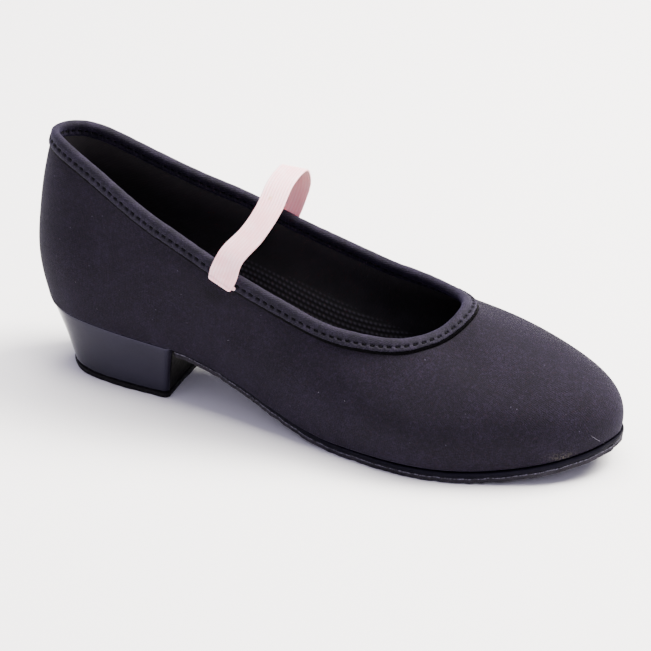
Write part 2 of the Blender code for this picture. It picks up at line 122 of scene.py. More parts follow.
WALL = np.array([
    # climb  flare  reach  lean
    [0.40, 16, 0.35, 78],
    [0.40, 16, 0.35, 78],
    [0.40, 15, 0.35, 80],
    [0.40, 14, 0.35, 82],
    [0.40, 14, 0.35, 82],
    [0.44, 13, 0.35, 78],
    [0.52, 12, 0.38, 70],
    [0.60, 10, 0.40, 55],
    [0.64, 10, 0.42, 37],
    [0.66, 14, 0.43, 29],
    [0.66, 15, 0.44, 26],
])
STRAP_WAY = np.array([
    # forward, across, up
    [0.08, 0.03, 0.24],
    [0.26, 0.15, 0.47],
    [0.37, 0.30, 0.72],
    [0.38, 0.48, 0.93],
    [0.37, 0.68, 0.97],
    [0.30, 0.85, 0.83],
    [0.22, 0.97, 0.55],
    [0.09, 1.03, 0.22],
])


# The curves of the last
def station_places():
    """Each station's place on the way round, from the length of the mean plan outline between stations."""
    along = FEATHER[:, 0] * FOOT_LENGTH
    half = (FEATHER[:, 1] + FEATHER[:, 2]) / 2 * BALL_WIDTH
    steps = np.hypot(np.diff(along), np.diff(half))
    out = np.concatenate([[0], np.cumsum(steps)]) / (2 * steps.sum())
    return np.concatenate([out, 1 - out[-2:0:-1]])


PLACES = station_places()


def closed_spline(values):
    """The closed cubic spline through values at PLACES, with a continuous second derivative."""
    count = len(PLACES)
    gaps = np.diff(np.append(PLACES, PLACES[0] + 1))
    rises = np.diff(np.append(values, values[0])) / gaps
    system = np.diag(2 * (np.roll(gaps, 1) + gaps))
    here = np.arange(count)
    system[here, here - 1] += gaps
    system[here, (here + 1) % count] += np.roll(gaps, 1)
    slopes = np.linalg.solve(system, 3 * (gaps * np.roll(rises, 1) + np.roll(gaps, 1) * rises))

    def read(at):
        """The spline's value at places round the shoe."""
        at = np.mod(at, 1.0)
        i = np.clip(np.searchsorted(PLACES, at, side="right") - 1, 0, count - 1)
        after = (i + 1) % count
        t = (at - PLACES[i]) / gaps[i]
        ends = (1 + 2 * t) * (1 - t) ** 2 * values[i] + t**2 * (3 - 2 * t) * values[after]
        return ends + gaps[i] * (t * (1 - t) ** 2 * slopes[i] - t**2 * (1 - t) * slopes[after])

    return read


def round_the_shoe(outer, inner, sign=1):
    """Two columns, one for each side of the foot, as one function of the way round."""
    return closed_spline(np.concatenate([sign * outer, inner[-2:0:-1]]))


feather_along = round_the_shoe(FEATHER[:, 0], FEATHER[:, 0])
feather_across = round_the_shoe(FEATHER[:, 1], FEATHER[:, 2], -1)
topline_along = round_the_shoe(TOPLINE[:, 0], TOPLINE[:, 0])
topline_across = round_the_shoe(TOPLINE[:, 1], TOPLINE[:, 2], -1)
topline_up = round_the_shoe(TOPLINE[:, 3], TOPLINE[:, 4])
wall_climb, wall_flare, wall_reach, wall_lean = (round_the_shoe(WALL[:, k], WALL[:, k]) for k in range(4))


def underside(x):
    """Height of the line that the upper stands on: a straight seat, a cubic down the waist, then flat, then a
    parabola up to the toe."""
    slope = math.tan(math.radians(SEAT_SLOPE))
    ball_x = HEEL_BACK_X + BALL_START * FOOT_LENGTH
    spring_x = HEEL_BACK_X + BALL_END * FOOT_LENGTH
    run = ball_x - BREAST_X
    t = np.clip((x - BREAST_X) / run, 0, 1)
    drop = (1 + 2 * t) * (1 - t) ** 2 * (HEEL_SEAT_HEIGHT - slope * HEEL_LENGTH - FORE_HEIGHT)
    toe = TOE_SPRING * (np.clip(x - spring_x, 0, None) / (HEEL_BACK_X + FOOT_LENGTH - spring_x)) ** 2
    fore = FORE_HEIGHT + drop - t * (1 - t) ** 2 * run * slope + toe
    return np.where(x < BREAST_X, HEEL_SEAT_HEIGHT - slope * (x - HEEL_BACK_X), fore)


def feather(at):
    """The feather edge: plan shares of the foot's length and ball width, at the underside's height."""
    x = HEEL_BACK_X + FOOT_LENGTH * feather_along(at)
    return np.stack([x, BALL_WIDTH * feather_across(at), underside(x)], -1)


def topline(at):
    """The edge of the opening: plan shares, and a height over the underside."""
    x = HEEL_BACK_X + FOOT_LENGTH * topline_along(at)
    return np.stack([x, BALL_WIDTH * topline_across(at), underside(x) + BACK_HEIGHT * topline_up(at)], -1)


def unit(v):
    """Vectors divided by their lengths."""
    return v / np.linalg.norm(v, axis=-1, keepdims=True)


def outward(edge, at):
    """Level unit vectors out of a closed edge: its tangent turned by a right angle."""
    run = edge(at + 1e-4) - edge(at - 1e-4)
    return unit(np.stack([run[..., 1], -run[..., 0], 0 * run[..., 0]], -1))


UP = np.array([0.0, 0.0, 1.0])


def outer_surface(at, share):
    """The wall's outer face: at each place round the shoe, a cubic Bezier curve from the feather edge (share 0)
    to the topline (share 1)."""
    low, high = feather(at), topline(at)
    climb = wall_climb(at)[..., None] * (high - low)[..., 2:]
    reach = wall_reach(at)[..., None] * np.linalg.norm(high - low, axis=-1, keepdims=True)
    flare, lean = (np.radians(f(at))[..., None] for f in (wall_flare, wall_lean))
    first = low + climb * (np.cos(flare) * UP + np.sin(flare) * outward(feather, at))
    second = high + reach * (np.cos(lean) * outward(topline, at) - np.sin(lean) * UP)
    t = np.asarray(share)[..., None]
    return (1 - t) ** 3 * low + 3 * t * (1 - t) ** 2 * first + 3 * t**2 * (1 - t) * second + t**3 * high


def surface_normal(at, share):
    """Outward unit normals of outer_surface, from central differences."""
    share = np.clip(share, 1e-4, 1 - 1e-4)
    round_step = outer_surface(at + 1e-4, share) - outer_surface(at - 1e-4, share)
    rise_step = outer_surface(at, share + 1e-4) - outer_surface(at, share - 1e-4)
    return unit(np.cross(round_step, rise_step))


def shares_down(at, distance):
    """The share at which the outer face lies a distance down from the topline: each station's curve is walked
    in 80 steps and the distance looked up in the walked lengths."""
    steps = np.linspace(1, 0.4, 80)
    line = outer_surface(at[:, None], steps[None, :])
    walked = np.cumsum(np.linalg.norm(np.diff(line, axis=1), axis=2), axis=1)
    walked = np.concatenate([np.zeros((len(at), 1)), walked], axis=1)
    distance = np.broadcast_to(np.maximum(distance, 0), at.shape)
    i = np.clip((walked < distance[:, None]).sum(axis=1), 1, len(steps) - 1)
    rows = np.arange(len(at))
    t = (distance - walked[rows, i - 1]) / (walked[rows, i] - walked[rows, i - 1])
    return steps[i - 1] + t * (steps[i] - steps[i - 1])


def wall_points(at, distance, offset):
    """Points a distance down from the topline and an offset out of the middle of the wall. A distance under 0
    runs on past the topline in a straight line."""
    at = np.atleast_1d(np.asarray(at, float))
    share = shares_down(at, distance)
    points = outer_surface(at, share) + surface_normal(at, share) * (
        np.broadcast_to(offset, at.shape)[:, None] - UPPER_WALL / 2)
    rise = unit(outer_surface(at, np.ones_like(at)) - outer_surface(at, np.full_like(at, 0.99)))
    return points - np.minimum(np.broadcast_to(distance, at.shape), 0)[:, None] * rise


def place_at(x, edge=feather):
    """The way round, on the outer side, at which an edge passes x."""
    ways = np.linspace(0, 0.5, 2001)
    return float(np.interp(x, edge(ways)[:, 0], ways))


def smooth(t):
    """0 to 1 with level ends: 3t^2 - 2t^3."""
    t = np.clip(t, 0, 1)
    return t * t * (3 - 2 * t)


def bell(t):
    """A soft bump, 1 at 0 and almost 0 past 2: exp(-t^2)."""
    return np.exp(-np.square(t))


def waves(seed, *axes, lengths, count=10):
    """A smooth uneven field of mean 0 and about unit height: cosines with random directions, wavelengths
    between the two lengths and random phases, added up. The axes are in metres."""
    pick = np.random.default_rng(seed)
    total = 0
    for _ in range(count):
        turn = unit(pick.normal(size=len(axes)))
        wavelength = np.exp(pick.uniform(np.log(lengths[0]), np.log(lengths[1])))
        phase = pick.uniform(0, 2 * np.pi)
        total = total + np.cos(2 * np.pi / wavelength * sum(k * a for k, a in zip(turn, axes)) + phase)
    return total / math.sqrt(count / 2)


# Meshes
def quads(rows, columns, close_rows, close_columns):
    """Four-cornered faces between the points of a grid. A closed direction joins its last line to its first."""
    i = np.arange(rows if close_rows else rows - 1)[:, None]
    k = np.arange(columns if close_columns else columns - 1)[None, :]
    j, m = (i + 1) % rows, (k + 1) % columns
    return np.stack([i * columns + k, j * columns + k, j * columns + m, i * columns + m], -1).reshape(-1, 4)


def piece(name, points, faces, material, slot, uv=None, attributes=None):
    """A smooth-shaded object from points and faces that rides on the shoe's one body, with its faces turned
    outwards. uv is a pair of metres for each point, kept on the corners; attributes are numbers for each point,
    by name."""
    mesh = bpy.data.meshes.new(name)
    points = np.asarray(points, float).reshape(-1, 3)
    mesh.from_pydata(points, [], faces.tolist() if isinstance(faces, np.ndarray) else faces)
    turned = bmesh.new()
    turned.from_mesh(mesh)
    bmesh.ops.recalc_face_normals(turned, faces=turned.faces)
    turned.to_mesh(mesh)
    turned.free()
    if uv is not None:
        layer = mesh.uv_layers.new(name="cloth")
        corner = np.empty(len(mesh.loops), np.int32)
        mesh.loops.foreach_get("vertex_index", corner)
        layer.data.foreach_set("uv", np.asarray(uv, np.float32).reshape(-1, 2)[corner].ravel())
    for key, values in (attributes or {}).items():
        data = mesh.attributes.new(key, "FLOAT", "POINT")
        data.data.foreach_set("value", np.asarray(values, np.float32).ravel())
    mesh.polygons.foreach_set("use_smooth", np.ones(len(mesh.polygons), bool))
    mesh.update()
    made = bpy.data.objects.new(name, mesh)
    bpy.context.scene.collection.objects.link(made)
    made.data.materials.append(material)
    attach(made, "root")
    return made


def band_uv(grid):
    """A pair of lengths for each point of a grid: the mean length walked along the rows, and the length walked
    across them."""
    steps = np.linalg.norm(np.diff(grid, axis=0), axis=2).mean(axis=1)
    along = np.concatenate([[0], np.cumsum(steps)])
    across = np.linalg.norm(np.diff(grid, axis=1), axis=2)
    across = np.concatenate([np.zeros((len(grid), 1)), np.cumsum(across, axis=1)], axis=1)
    return np.stack([np.broadcast_to(along[:, None], across.shape), across], -1)


def closed_tube(rows, columns):
    """Faces of a tube through closed sections, with one face over each end."""
    ends = [list(range(columns)), list(range((rows - 1) * columns, rows * columns))]
    return quads(rows, columns, False, True).tolist() + ends


def together(parts):
    """One array of points and one list of faces from several pairs of them."""
    points, faces, shift = [], [], 0
    for more_points, more_faces in parts:
        points.append(more_points)
        faces += [[k + shift for k in face] for face in more_faces]
        shift += len(more_points)
    return np.concatenate(points), faces


def ring_piece(name, grid, material, slot, **more):
    """A surface through closed sections that are set round the shoe. Its UV map is in metres: along and across.
    The corners at both seams get the full length, so that no face turns back."""
    rows, columns = grid.shape[:2]
    faces = quads(rows, columns, True, True)
    made = piece(name, grid, faces, material, slot, **more)
    ring = np.concatenate([grid, grid[:1]], axis=0)
    full = band_uv(ring)
    corner = np.empty(len(made.data.loops), np.int32)
    made.data.loops.foreach_get("vertex_index", corner)
    row, column = corner // columns, corner % columns
    first = np.repeat(faces[:, 0] // columns, 4)
    row = np.where((first == rows - 1) & (row == 0), rows, row)
    wide = np.concatenate([full, full[:, :1]], axis=1)
    wide[:, -1, 1] = full[:, -1, 1] + np.linalg.norm(ring[:, 0] - ring[:, -1], axis=1)
    first_column = np.repeat(faces[:, 0] % columns, 4)
    column = np.where((first_column == columns - 1) & (column == 0), columns, column)
    layer = made.data.uv_layers.new(name="cloth")
    layer.data.foreach_set("uv", wide[row, column].astype(np.float32).ravel())
    return made


# Materials
def linear(hex_colour, alpha=1.0):
    """An sRGB hex colour as linear red, green, blue and alpha."""
    parts = [int(hex_colour[i : i + 2], 16) / 255 for i in (0, 2, 4)]
    return (*[c / 12.92 if c <= 0.04045 else ((c + 0.055) / 1.055) ** 2.4 for c in parts], alpha)


def per_mm(millimetres):
    """Repeats in a metre of something this size, for a texture's scale on coordinates in metres."""
    return 1 / (millimetres * MM)


BAND = 2 * math.pi / 20  # Blender's band texture repeats 20 / (2 pi) times in a unit of its scale

KINDS = {
    # kind: Blender's node, its settings, the sockets that the values go to in order, the socket out
    "uv": ("UVMap", {"uv_map": "cloth"}, (), 0),
    "place": ("TexCoord", {}, (), "Object"),
    "number": ("Attribute", {}, (), "Fac"),
    "stretch": ("Mapping", {}, ("Vector", "Scale"), 0),
    "turn": ("Mapping", {}, ("Vector", "Rotation"), 0),
    "noise": ("TexNoise", {}, ("Vector", "Scale", "Detail", "Roughness"), "Fac"),
    "bands": ("TexWave", {"wave_type": "BANDS", "wave_profile": "SIN"},
              ("Vector", "Scale", "Detail", "Distortion"), "Fac"),
    "cells": ("TexVoronoi", {"feature": "F1"}, ("Vector", "Scale"), "Distance"),
    "sum": ("Math", {"operation": "ADD"}, (0, 1), 0),
    "less": ("Math", {"operation": "SUBTRACT"}, (0, 1), 0),
    "times": ("Math", {"operation": "MULTIPLY"}, (0, 1), 0),
    "span": ("MapRange", {"clamp": True}, (0, 1, 2, 3, 4), 0),
    "ramp": ("ValToRGB", {}, (0,), "Color"),
    "blend": ("Mix", {"data_type": "RGBA"}, (0, 6, 7), 2),
    "bump": ("Bump", {}, ("Height", "Distance"), "Normal"),
}


def add_node(tree, kind, *values, stops=(), **settings):
    """Adds a node of one of the KINDS and returns its socket out. A value is a number, a vector, a hex colour or
    another node's socket. The stops of a colour ramp are pairs of a place and a hex colour."""
    blender_kind, fixed, sockets, out = KINDS[kind]
    made = tree.nodes.new("ShaderNode" + blender_kind)
    for key, value in {**fixed, **settings}.items():
        setattr(made, key, value)
    for socket, value in zip(sockets, values):
        if isinstance(value, bpy.types.NodeSocket):
            tree.links.new(value, made.inputs[socket])
        else:
            made.inputs[socket].default_value = linear(value) if isinstance(value, str) else value
    if stops:
        elements = made.color_ramp.elements
        while len(elements) < len(stops):
            elements.new(0.5)
        for element, (place, colour) in zip(elements, stops):
            element.position, element.color = place, linear(colour)
    return made.outputs[out]


def link_shader(tree, shader, **sockets):
    """Links sockets to the shader's inputs. An input's name has underscores for spaces."""
    for key, socket in sockets.items():
        tree.links.new(socket, shader.inputs[key.replace("_", " ")])


def finish(name, **numbers):
    """An empty material with one Principled shader, whose numbers are set on its own sockets. Returns it, the
    function that adds a node to it and the one that links the shader."""
    made = bpy.data.materials.new(name)
    made.use_nodes = True
    shader = made.node_tree.nodes["Principled BSDF"]
    for key, value in numbers.items():
        shader.inputs[key.replace("_", " ")].default_value = value
    return made, partial(add_node, made.node_tree), partial(link_shader, made.node_tree, shader)


def canvas_finish():
    """Brushed cotton canvas, dyed black: a close plain weave under a short nap, which greys the crowns of the
    threads and gives a soft purple-grey sheen at a low angle."""
    made, add, use = finish("brushed_cotton_canvas", Roughness=0.85, Specular_IOR_Level=0.11,
                            Sheen_Weight=0.045, Sheen_Roughness=0.5, Sheen_Tint=linear("9F92D0"))
    uv, place = add("uv"), add("place")
    thread = per_mm(0.75) * BAND  # drawn half as coarse again as real duck, so that it shows
    warp, weft = (add("bands", uv, thread, 0.0, 1.5, bands_direction=axis) for axis in "XY")
    nap = add("noise", place, per_mm(0.5), 3.0, 0.75)
    mottle = add("noise", place, per_mm(1.4), 2.0, 0.6)
    cloud = add("noise", place, per_mm(14.0), 3.0, 0.6)
    tone = add("sum", add("times", nap, 0.6), add("times", mottle, 0.25))
    tone = add("sum", tone, add("times", cloud, 0.15))
    colour = add("ramp", tone, stops=((0.38, "07060B"), (0.5, "0E0A14"), (0.62, "1C1625")))
    rust = add("span", add("noise", place, per_mm(0.9), 2.0, 0.6), 0.55, 0.72, 0.0, 0.5)
    colour = add("blend", rust, colour, "1B0F18")
    speck = add("span", add("cells", place, per_mm(4.5)), 0.03, 0.07, 1.0, 0.0)
    keep = add("span", add("noise", place, per_mm(5.0), 1.0), 0.5, 0.56)
    colour = add("blend", add("times", add("times", speck, keep), 0.5), colour, "4E4A5A")
    dusty = add("span", add("noise", place, per_mm(0.7), 3.0, 0.7), 0.46, 0.62, 0.0, 0.4)
    colour = add("blend", add("times", add("number", attribute_name="scuff"), dusty), colour, "5F5B50")
    # painted shade: the canvas darkened in a line just below the tape's lip and in the shadow under the strap's
    # hem
    colour = add("blend", add("number", attribute_name="painted_canvas_shade"), colour, "040305")
    height = add("sum", add("times", add("times", warp, weft), 0.35), nap)
    use(Base_Color=colour, Normal=add("bump", height, 0.2 * MM))
    return made


def lining_finish():
    """Cotton-drill lining, smooth and near black, with a fine diagonal twill; near the topline it is painted a
    warm grey, painted light where light reaches into the shoe."""
    made, add, use = finish("cotton_drill_lining", Roughness=0.6, Specular_IOR_Level=0.3, Sheen_Weight=0.1,
                            Sheen_Roughness=0.4, Sheen_Tint=linear("8A8078"))
    turned = add("turn", add("uv"), (0, 0, math.radians(38)))
    twill = add("bands", turned, per_mm(0.8) * BAND, 0.0, 0.3)
    cloud = add("noise", add("place"), per_mm(6.0), 3.0)
    colour = add("ramp", cloud, stops=((0.35, "08060A"), (0.65, "100D12")))
    # painted light: a warm grey near the topline
    colour = add("blend", add("number", attribute_name="painted_light_near_topline"), colour, "393637")
    use(Base_Color=colour, Normal=add("bump", twill, 0.04 * MM))
    return made


def binding_finish():
    """Cotton twill tape, folded over the topline, in the canvas's dye. The shade attribute paints shade into its
    colour: in the seam, at the needle holes, under its cut edge and on the inner half of the roll."""
    made, add, use = finish("cotton_twill_tape", Roughness=0.8, Specular_IOR_Level=0.14, Sheen_Weight=0.10,
                            Sheen_Roughness=0.45, Sheen_Tint=linear("A79BD6"))
    place = add("place")
    twill = add("bands", add("turn", add("uv"), (0, 0, math.radians(52))), per_mm(0.7) * BAND, 0.0, 0.6)
    nap = add("noise", place, per_mm(0.55), 3.0, 0.7)
    tone = add("sum", add("times", nap, 0.7), add("times", add("noise", place, per_mm(4.0)), 0.3))
    colour = add("ramp", tone, stops=((0.38, "0A0810"), (0.5, "120F1A"), (0.62, "221C2C")))
    # painted shade, where the shade attribute is high
    colour = add("blend", add("number", attribute_name="shade"), colour, "040306")
    height = add("sum", add("times", twill, 0.6), add("times", nap, 0.8))
    use(Base_Color=colour, Normal=add("bump", height, 0.13 * MM))
    return made


def dull_finish(name, roughness, specular, size_mm, dark, light):
    """A dull finish whose colour runs between two in soft blobs of a size in millimetres."""
    made, add, use = finish(name, Roughness=roughness, Specular_IOR_Level=specular)
    blobs = add("noise", add("place"), per_mm(size_mm))
    use(Base_Color=add("ramp", blobs, stops=((0.4, dark), (0.6, light))))
    return made


def grained_finish(name, grain, stretch, stops, roughness, depth_mm, **numbers):
    """A finish with one grain, a noise of (size in mm, detail, roughness) drawn flatter by a stretch, which
    gives its colours, its roughness and its bumps."""
    made, add, use = finish(name, **numbers)
    size_mm, detail, fall = grain
    noise = add("noise", add("stretch", add("place"), (1, 1, stretch)), per_mm(size_mm), detail, fall)
    use(Base_Color=add("ramp", noise, stops=stops), Roughness=add("span", noise, 0.3, 0.7, *roughness),
        Normal=add("bump", noise, depth_mm * MM))
    return made


def sock_finish():
    """Embossed coated sock: the beads' crowns are polished by wear and painted a lighter grey as a painted
    highlight; the valleys stay dark and dull.
    """
    made, add, use = finish("embossed_sock", Specular_IOR_Level=0.3)
    crown = add("number", attribute_name="crown")
    grain = add("noise", add("place"), per_mm(0.5), 2.0)
    # painted highlight: the bead crowns a lighter grey
    colour = add("blend", add("span", crown, 0.1, 0.8), "060508", "322F38")
    rough = add("span", add("less", add("times", grain, 0.4), crown), -0.9, 0.4, 0.3, 0.7)
    use(Base_Color=colour, Roughness=rough, Normal=add("bump", grain, 0.03 * MM))
    return made


def suede_finish():
    """Split suede, napped: dull, with the fibres' uneven lie, and greyed along its raw edge."""
    made, add, use = finish("split_suede", Roughness=0.95, Specular_IOR_Level=0.1, Sheen_Weight=0.08,
                            Sheen_Roughness=0.6, Sheen_Tint=linear("8A8590"))
    place = add("place")
    fibre = add("noise", add("stretch", place, (1, 1.6, 3)), per_mm(0.6), 4.0, 0.7)
    patch = add("noise", place, per_mm(12.0), 3.0)
    tone = add("sum", add("times", fibre, 0.6), add("times", patch, 0.4))
    colour = add("ramp", tone, stops=((0.36, "121014"), (0.5, "1E1C22"), (0.64, "312D35")))
    flecks = add("span", add("noise", place, per_mm(0.8), 3.0, 0.7), 0.42, 0.6)
    colour = add("blend", add("times", add("number", attribute_name="raw"), flecks), colour, "605D6C")
    use(Base_Color=colour, Normal=add("bump", fibre, 0.35 * MM))
    return made


def patent_finish():
    """Heel cover of gloss-coated plastic sheet: black with the faintest orange peel, which mirrors the pale
    studio as a soft gradient."""
    made, add, use = finish("gloss_heel_cover", Specular_IOR_Level=0.33, Specular_Tint=linear("D2CCFF"))
    place = add("place")
    peel = add("noise", place, per_mm(6.0), 2.0)
    haze = add("noise", place, per_mm(14.0), 2.0)
    colour = add("ramp", haze, stops=((0.35, "08070A"), (0.65, "0D0B10")))
    speck = add("times", add("span", add("cells", place, per_mm(9.0)), 0.012, 0.03, 1.0, 0.0), 0.4)
    colour = add("blend", speck, colour, "57535E")
    use(Base_Color=colour, Roughness=add("span", haze, 0.3, 0.7, 0.13, 0.22),
        Normal=add("bump", peel, 0.04 * MM))
    return made


def elastic_finish():
    """Woven elastic, pale pink: matt cotton ribs over rubber cords, with fine cross threads. Painted shade makes
    its inner face a deeper pink, most of all high on the arch, and darkens the valleys between the ribs."""
    made, add, use = finish("woven_elastic", Roughness=0.75, Specular_IOR_Level=0.25, Sheen_Weight=0.1,
                            Sheen_Roughness=0.5, Subsurface_Weight=0.25, Subsurface_Scale=0.0012,
                            Subsurface_Radius=(1.0, 0.4, 0.35))
    cross = add("bands", add("uv"), per_mm(0.55) * BAND, 0.0, 0.5)  # twice the real thread, so that it shows
    valley, inside, stain = (add("number", attribute_name=name) for name in ("valley", "inside", "stain"))
    patch = add("noise", add("place"), per_mm(5.0), 2.0)
    colour = add("ramp", patch, stops=((0.35, "FFCBD2"), (0.65, "FFDCE1")))
    # painted shade in the rib valleys
    colour = add("blend", add("times", valley, 0.5), colour, "F3A9B3")
    # painted shade on the inner face
    colour = add("blend", inside, colour, "DF9A96")
    colour = add("blend", stain, colour, "C9A23A")
    use(Base_Color=colour, Normal=add("bump", cross, 0.06 * MM))
    return made


CANVAS, LINING, BINDING, SOCK = canvas_finish(), lining_finish(), binding_finish(), sock_finish()
SUEDE, PATENT, ELASTIC = suede_finish(), patent_finish(), elastic_finish()
# waxed polyester sewing thread: black and dull
THREAD = dull_finish("waxed_thread", 0.7, 0.08, 1.5, "030304", "070609")
# the tape's raw edge, turned under below the lip, made black and dull: painted shade under the lip
TAPE_EDGE = dull_finish("turned_tape_edge_painted_shade", 0.9, 0.03, 0.8, "020203", "050406")
# stray cotton and paper fibres: pale, matt
LINT = dull_finish("stray_fibre", 0.9, 0.2, 3.0, "5C5864", "8A8694")
# board edge painted with edge ink: blue-black and dull, with the ripple of the brush
EDGE_INK = grained_finish("inked_board_edge", (1.6, 4.0, 0.65), 4,
                          ((0.35, "020204"), (0.6, "06050A"), (0.75, "13121B")), (0.5, 0.75), 0.18,
                          Specular_IOR_Level=0.08, Specular_Tint=linear("CFC8FF"))
# the heel's breast: black and dull, with little reflection, as dark as the shade under the arch: painted shade
BREAST = grained_finish("dull_breast_painted_shade", (1.2, 3.0, 0.6), 1, ((0.35, "040305"), (0.65, "0A080C")),
                        (0.6, 0.8), 0.08, Specular_IOR_Level=0.04)
# moulded heel rubber, sanded flush at its edge: matt, with fine scratches along the floor
RUBBER = grained_finish("heel_rubber", (3.0, 4.0, 0.7), 8, ((0.35, "040305"), (0.65, "0B090D")),
                        (0.65, 0.9), 0.12, Specular_IOR_Level=0.15)


# Upper
CANVAS_THICKNESS = 1.1 * MM
CANVAS_ROLL = 0.5 * MM  # its rounding where it turns under
AROUND = 520  # steps round the shoe
UPPER_ROWS = 110  # steps from the feather edge to the topline
HEM_FOOT = np.array([0.0490, -0.031, 0.0545])  # canvas below the strap's hem, where a painted shadow of the hem darkens it


def tape_reach(at):
    """How far the binding reaches down from the topline: least at the toe and most at the back."""
    return (4.1 + 0.5 * np.cos(2 * np.pi * at)) * MM


def wall_relief(at, share):
    """How far the canvas stands off the last, in metres: a few listed long creases, the pull of the
    lasting along the feather edge, and a slow unevenness. Each crease is a bell across a slanted line in
    (way round, share), times a bell along it."""
    creases = (
        # way    share  slant  width   length  depth in mm
        (0.160,  0.30,  0.25,  0.012,  0.20,   -0.45),
        (0.205,  0.35,  -0.3,  0.014,  0.22,   0.35),
        (0.262,  0.22,  0.20,  0.012,  0.18,   -0.40),
        (0.300,  0.45,  -0.2,  0.016,  0.24,   -0.35),
        (0.355,  0.35,  0.30,  0.014,  0.20,   0.30),
        (0.690,  0.40,  0.25,  0.014,  0.22,   -0.40),
        (0.755,  0.30,  -0.2,  0.013,  0.18,   -0.45),
        (0.800,  0.35,  0.25,  0.015,  0.22,   0.35),
        (0.850,  0.30,  -0.3,  0.012,  0.20,   -0.35),
        (0.940,  0.40,  0.15,  0.012,  0.22,   0.25),
        (0.060,  0.35,  0.20,  0.014,  0.22,   0.25),
    )
    total = 0
    for way, height, slant, width, length, depth in creases:
        off = (at - way - slant * 0.06 * (share - height)) / width
        total = total + depth * bell(off) * bell((share - height) / length)
    pull = bell(share / 0.10) * np.cos(at * 2 * np.pi * 46 + 2 * np.sin(at * 2 * np.pi * 7)) * 0.12
    around = at * 0.62
    uneven = 0.16 * waves(3, around, share * 0.06, lengths=(0.02, 0.07))
    ends = smooth(share / 0.05) * smooth((1 - share) / 0.12)
    return (total + uneven) * ends * MM + pull * smooth(share / 0.012) * MM


def scuff_mask(points):
    """1 inside the dusty scuff low on the outer toe, falling to 0 round it."""
    centre = np.array([0.1887, -0.0194, 0.0114])
    return bell(np.linalg.norm((points - centre) / (0.0045, 0.0045, 0.0016), axis=-1))


def shell(outer, inner):
    """A closed section for each station round the shoe: up the outer face and back down the inner one."""
    return np.concatenate([outer, inner[:, ::-1]], axis=1)


def make_canvas():
    """The canvas: the wall's outer face with its relief, rolled over the feather edge and turned in under the
    foot as far as the lasting margin, and a second face one thickness inside it."""
    at = np.arange(AROUND) / AROUND
    share = np.linspace(0, 1, UPPER_ROWS + 1)
    share = share - 0.035 * np.sin(2 * np.pi * share)  # closer rows at the two edges
    at_grid, share_grid = np.meshgrid(at, share, indexing="ij")
    normal = surface_normal(at_grid, share_grid)
    face = outer_surface(at_grid, share_grid) + normal * wall_relief(at_grid, share_grid)[..., None]
    edge, out = feather(at), outward(feather, at)
    under = []
    for degrees in (90, 60, 30):
        turn = math.radians(degrees)
        rise = CLEARANCE + CANVAS_ROLL * (1 - math.sin(turn))
        under.append(edge - out * CANVAS_ROLL * math.sin(turn) ** 2 + UP * rise)
    depths = np.linspace(0.25, 1, 6)
    flat = [edge - out * LASTING_MARGIN * d for d in depths]
    flat = [np.column_stack([p[:, :2], underside(p[:, 0]) + CLEARANCE]) for p in flat]
    outer = np.concatenate([np.stack(flat[::-1] + under, axis=1), face[:, 2:]], axis=1)
    sparse = np.unique(np.append(np.arange(2, UPPER_ROWS + 1, 4), UPPER_ROWS))  # the inner face is hidden
    inner_face = (outer_surface(at_grid, share_grid) - normal * CANVAS_THICKNESS)[:, sparse]
    inner_low = edge - out * CANVAS_THICKNESS
    inner_low = np.column_stack([inner_low[:, :2], underside(inner_low[:, 0]) + CLEARANCE + CANVAS_THICKNESS])
    inner_flat = [p + UP * CANVAS_THICKNESS for p in flat]
    inner = np.concatenate([np.stack(inner_flat[::-1] + [inner_low], axis=1), inner_face], axis=1)
    grid = shell(outer, inner)
    below = np.linalg.norm(outer - topline(at)[:, None], axis=2) - tape_reach(at)[:, None]
    # painted shadow of the strap's hem on the canvas below it
    hem_shadow = 0.75 * bell(np.linalg.norm((outer - HEM_FOOT) / (0.0048, 0.02, 0.0040), axis=2))
    # painted shade: a dark line on the canvas just below the tape's lip, joined with the hem's painted shadow
    dark = np.maximum(0.95 * bell((below - 0.8 * MM) / (0.5 * MM)), hem_shadow)
    painted_canvas_shade = np.concatenate([dark, np.zeros(inner.shape[:2])], axis=1)
    made = ring_piece("canvas_upper", grid, CANVAS, "canvas",
                      attributes={"scuff": scuff_mask(grid), "painted_canvas_shade": painted_canvas_shade})
    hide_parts("upper")
    return made


def make_lining():
    """The lining: a thin closed shell inside the canvas, from the insole to the topline."""
    at = np.arange(AROUND // 2) / (AROUND // 2)
    share = np.linspace(0.01, 1, 50)
    at_grid, share_grid = np.meshgrid(at, share, indexing="ij")
    base, normal = outer_surface(at_grid, share_grid), surface_normal(at_grid, share_grid)
    uneven = 0.10 * MM * waves(8, at_grid * 0.6, share_grid * 0.06, lengths=(0.015, 0.05))
    gap = 0.05 * MM
    outer = base - normal * (CANVAS_THICKNESS + gap)
    inner = base - normal * (UPPER_WALL + uneven * smooth((1 - share_grid) / 0.15))[..., None]
    floor = underside(base[..., 0]) + CLEARANCE + CANVAS_THICKNESS + gap
    outer[..., 2] = np.maximum(outer[..., 2], floor)
    inner[..., 2] = np.maximum(inner[..., 2], floor)
    # painted light, strongest at the topline and fading down into the shoe
    painted_light_near_topline = 0.9 * bell((1 - share_grid) / 0.2)
    return ring_piece("lining", shell(outer, inner), LINING, "canvas",
                      attributes={"painted_light_near_topline": np.concatenate([painted_light_near_topline, painted_light_near_topline[:, ::-1]], axis=1)})


# Binding and its stitches
STITCH_LINE = 2.0 * MM  # below the topline
STITCH_PITCH = 3.15 * MM
STITCH_LENGTH = 1.8 * MM
THREAD_RADIUS = 0.3 * MM
STITCH_SLANT = 0.22 * MM  # each stitch's toe end lies this much lower than its middle


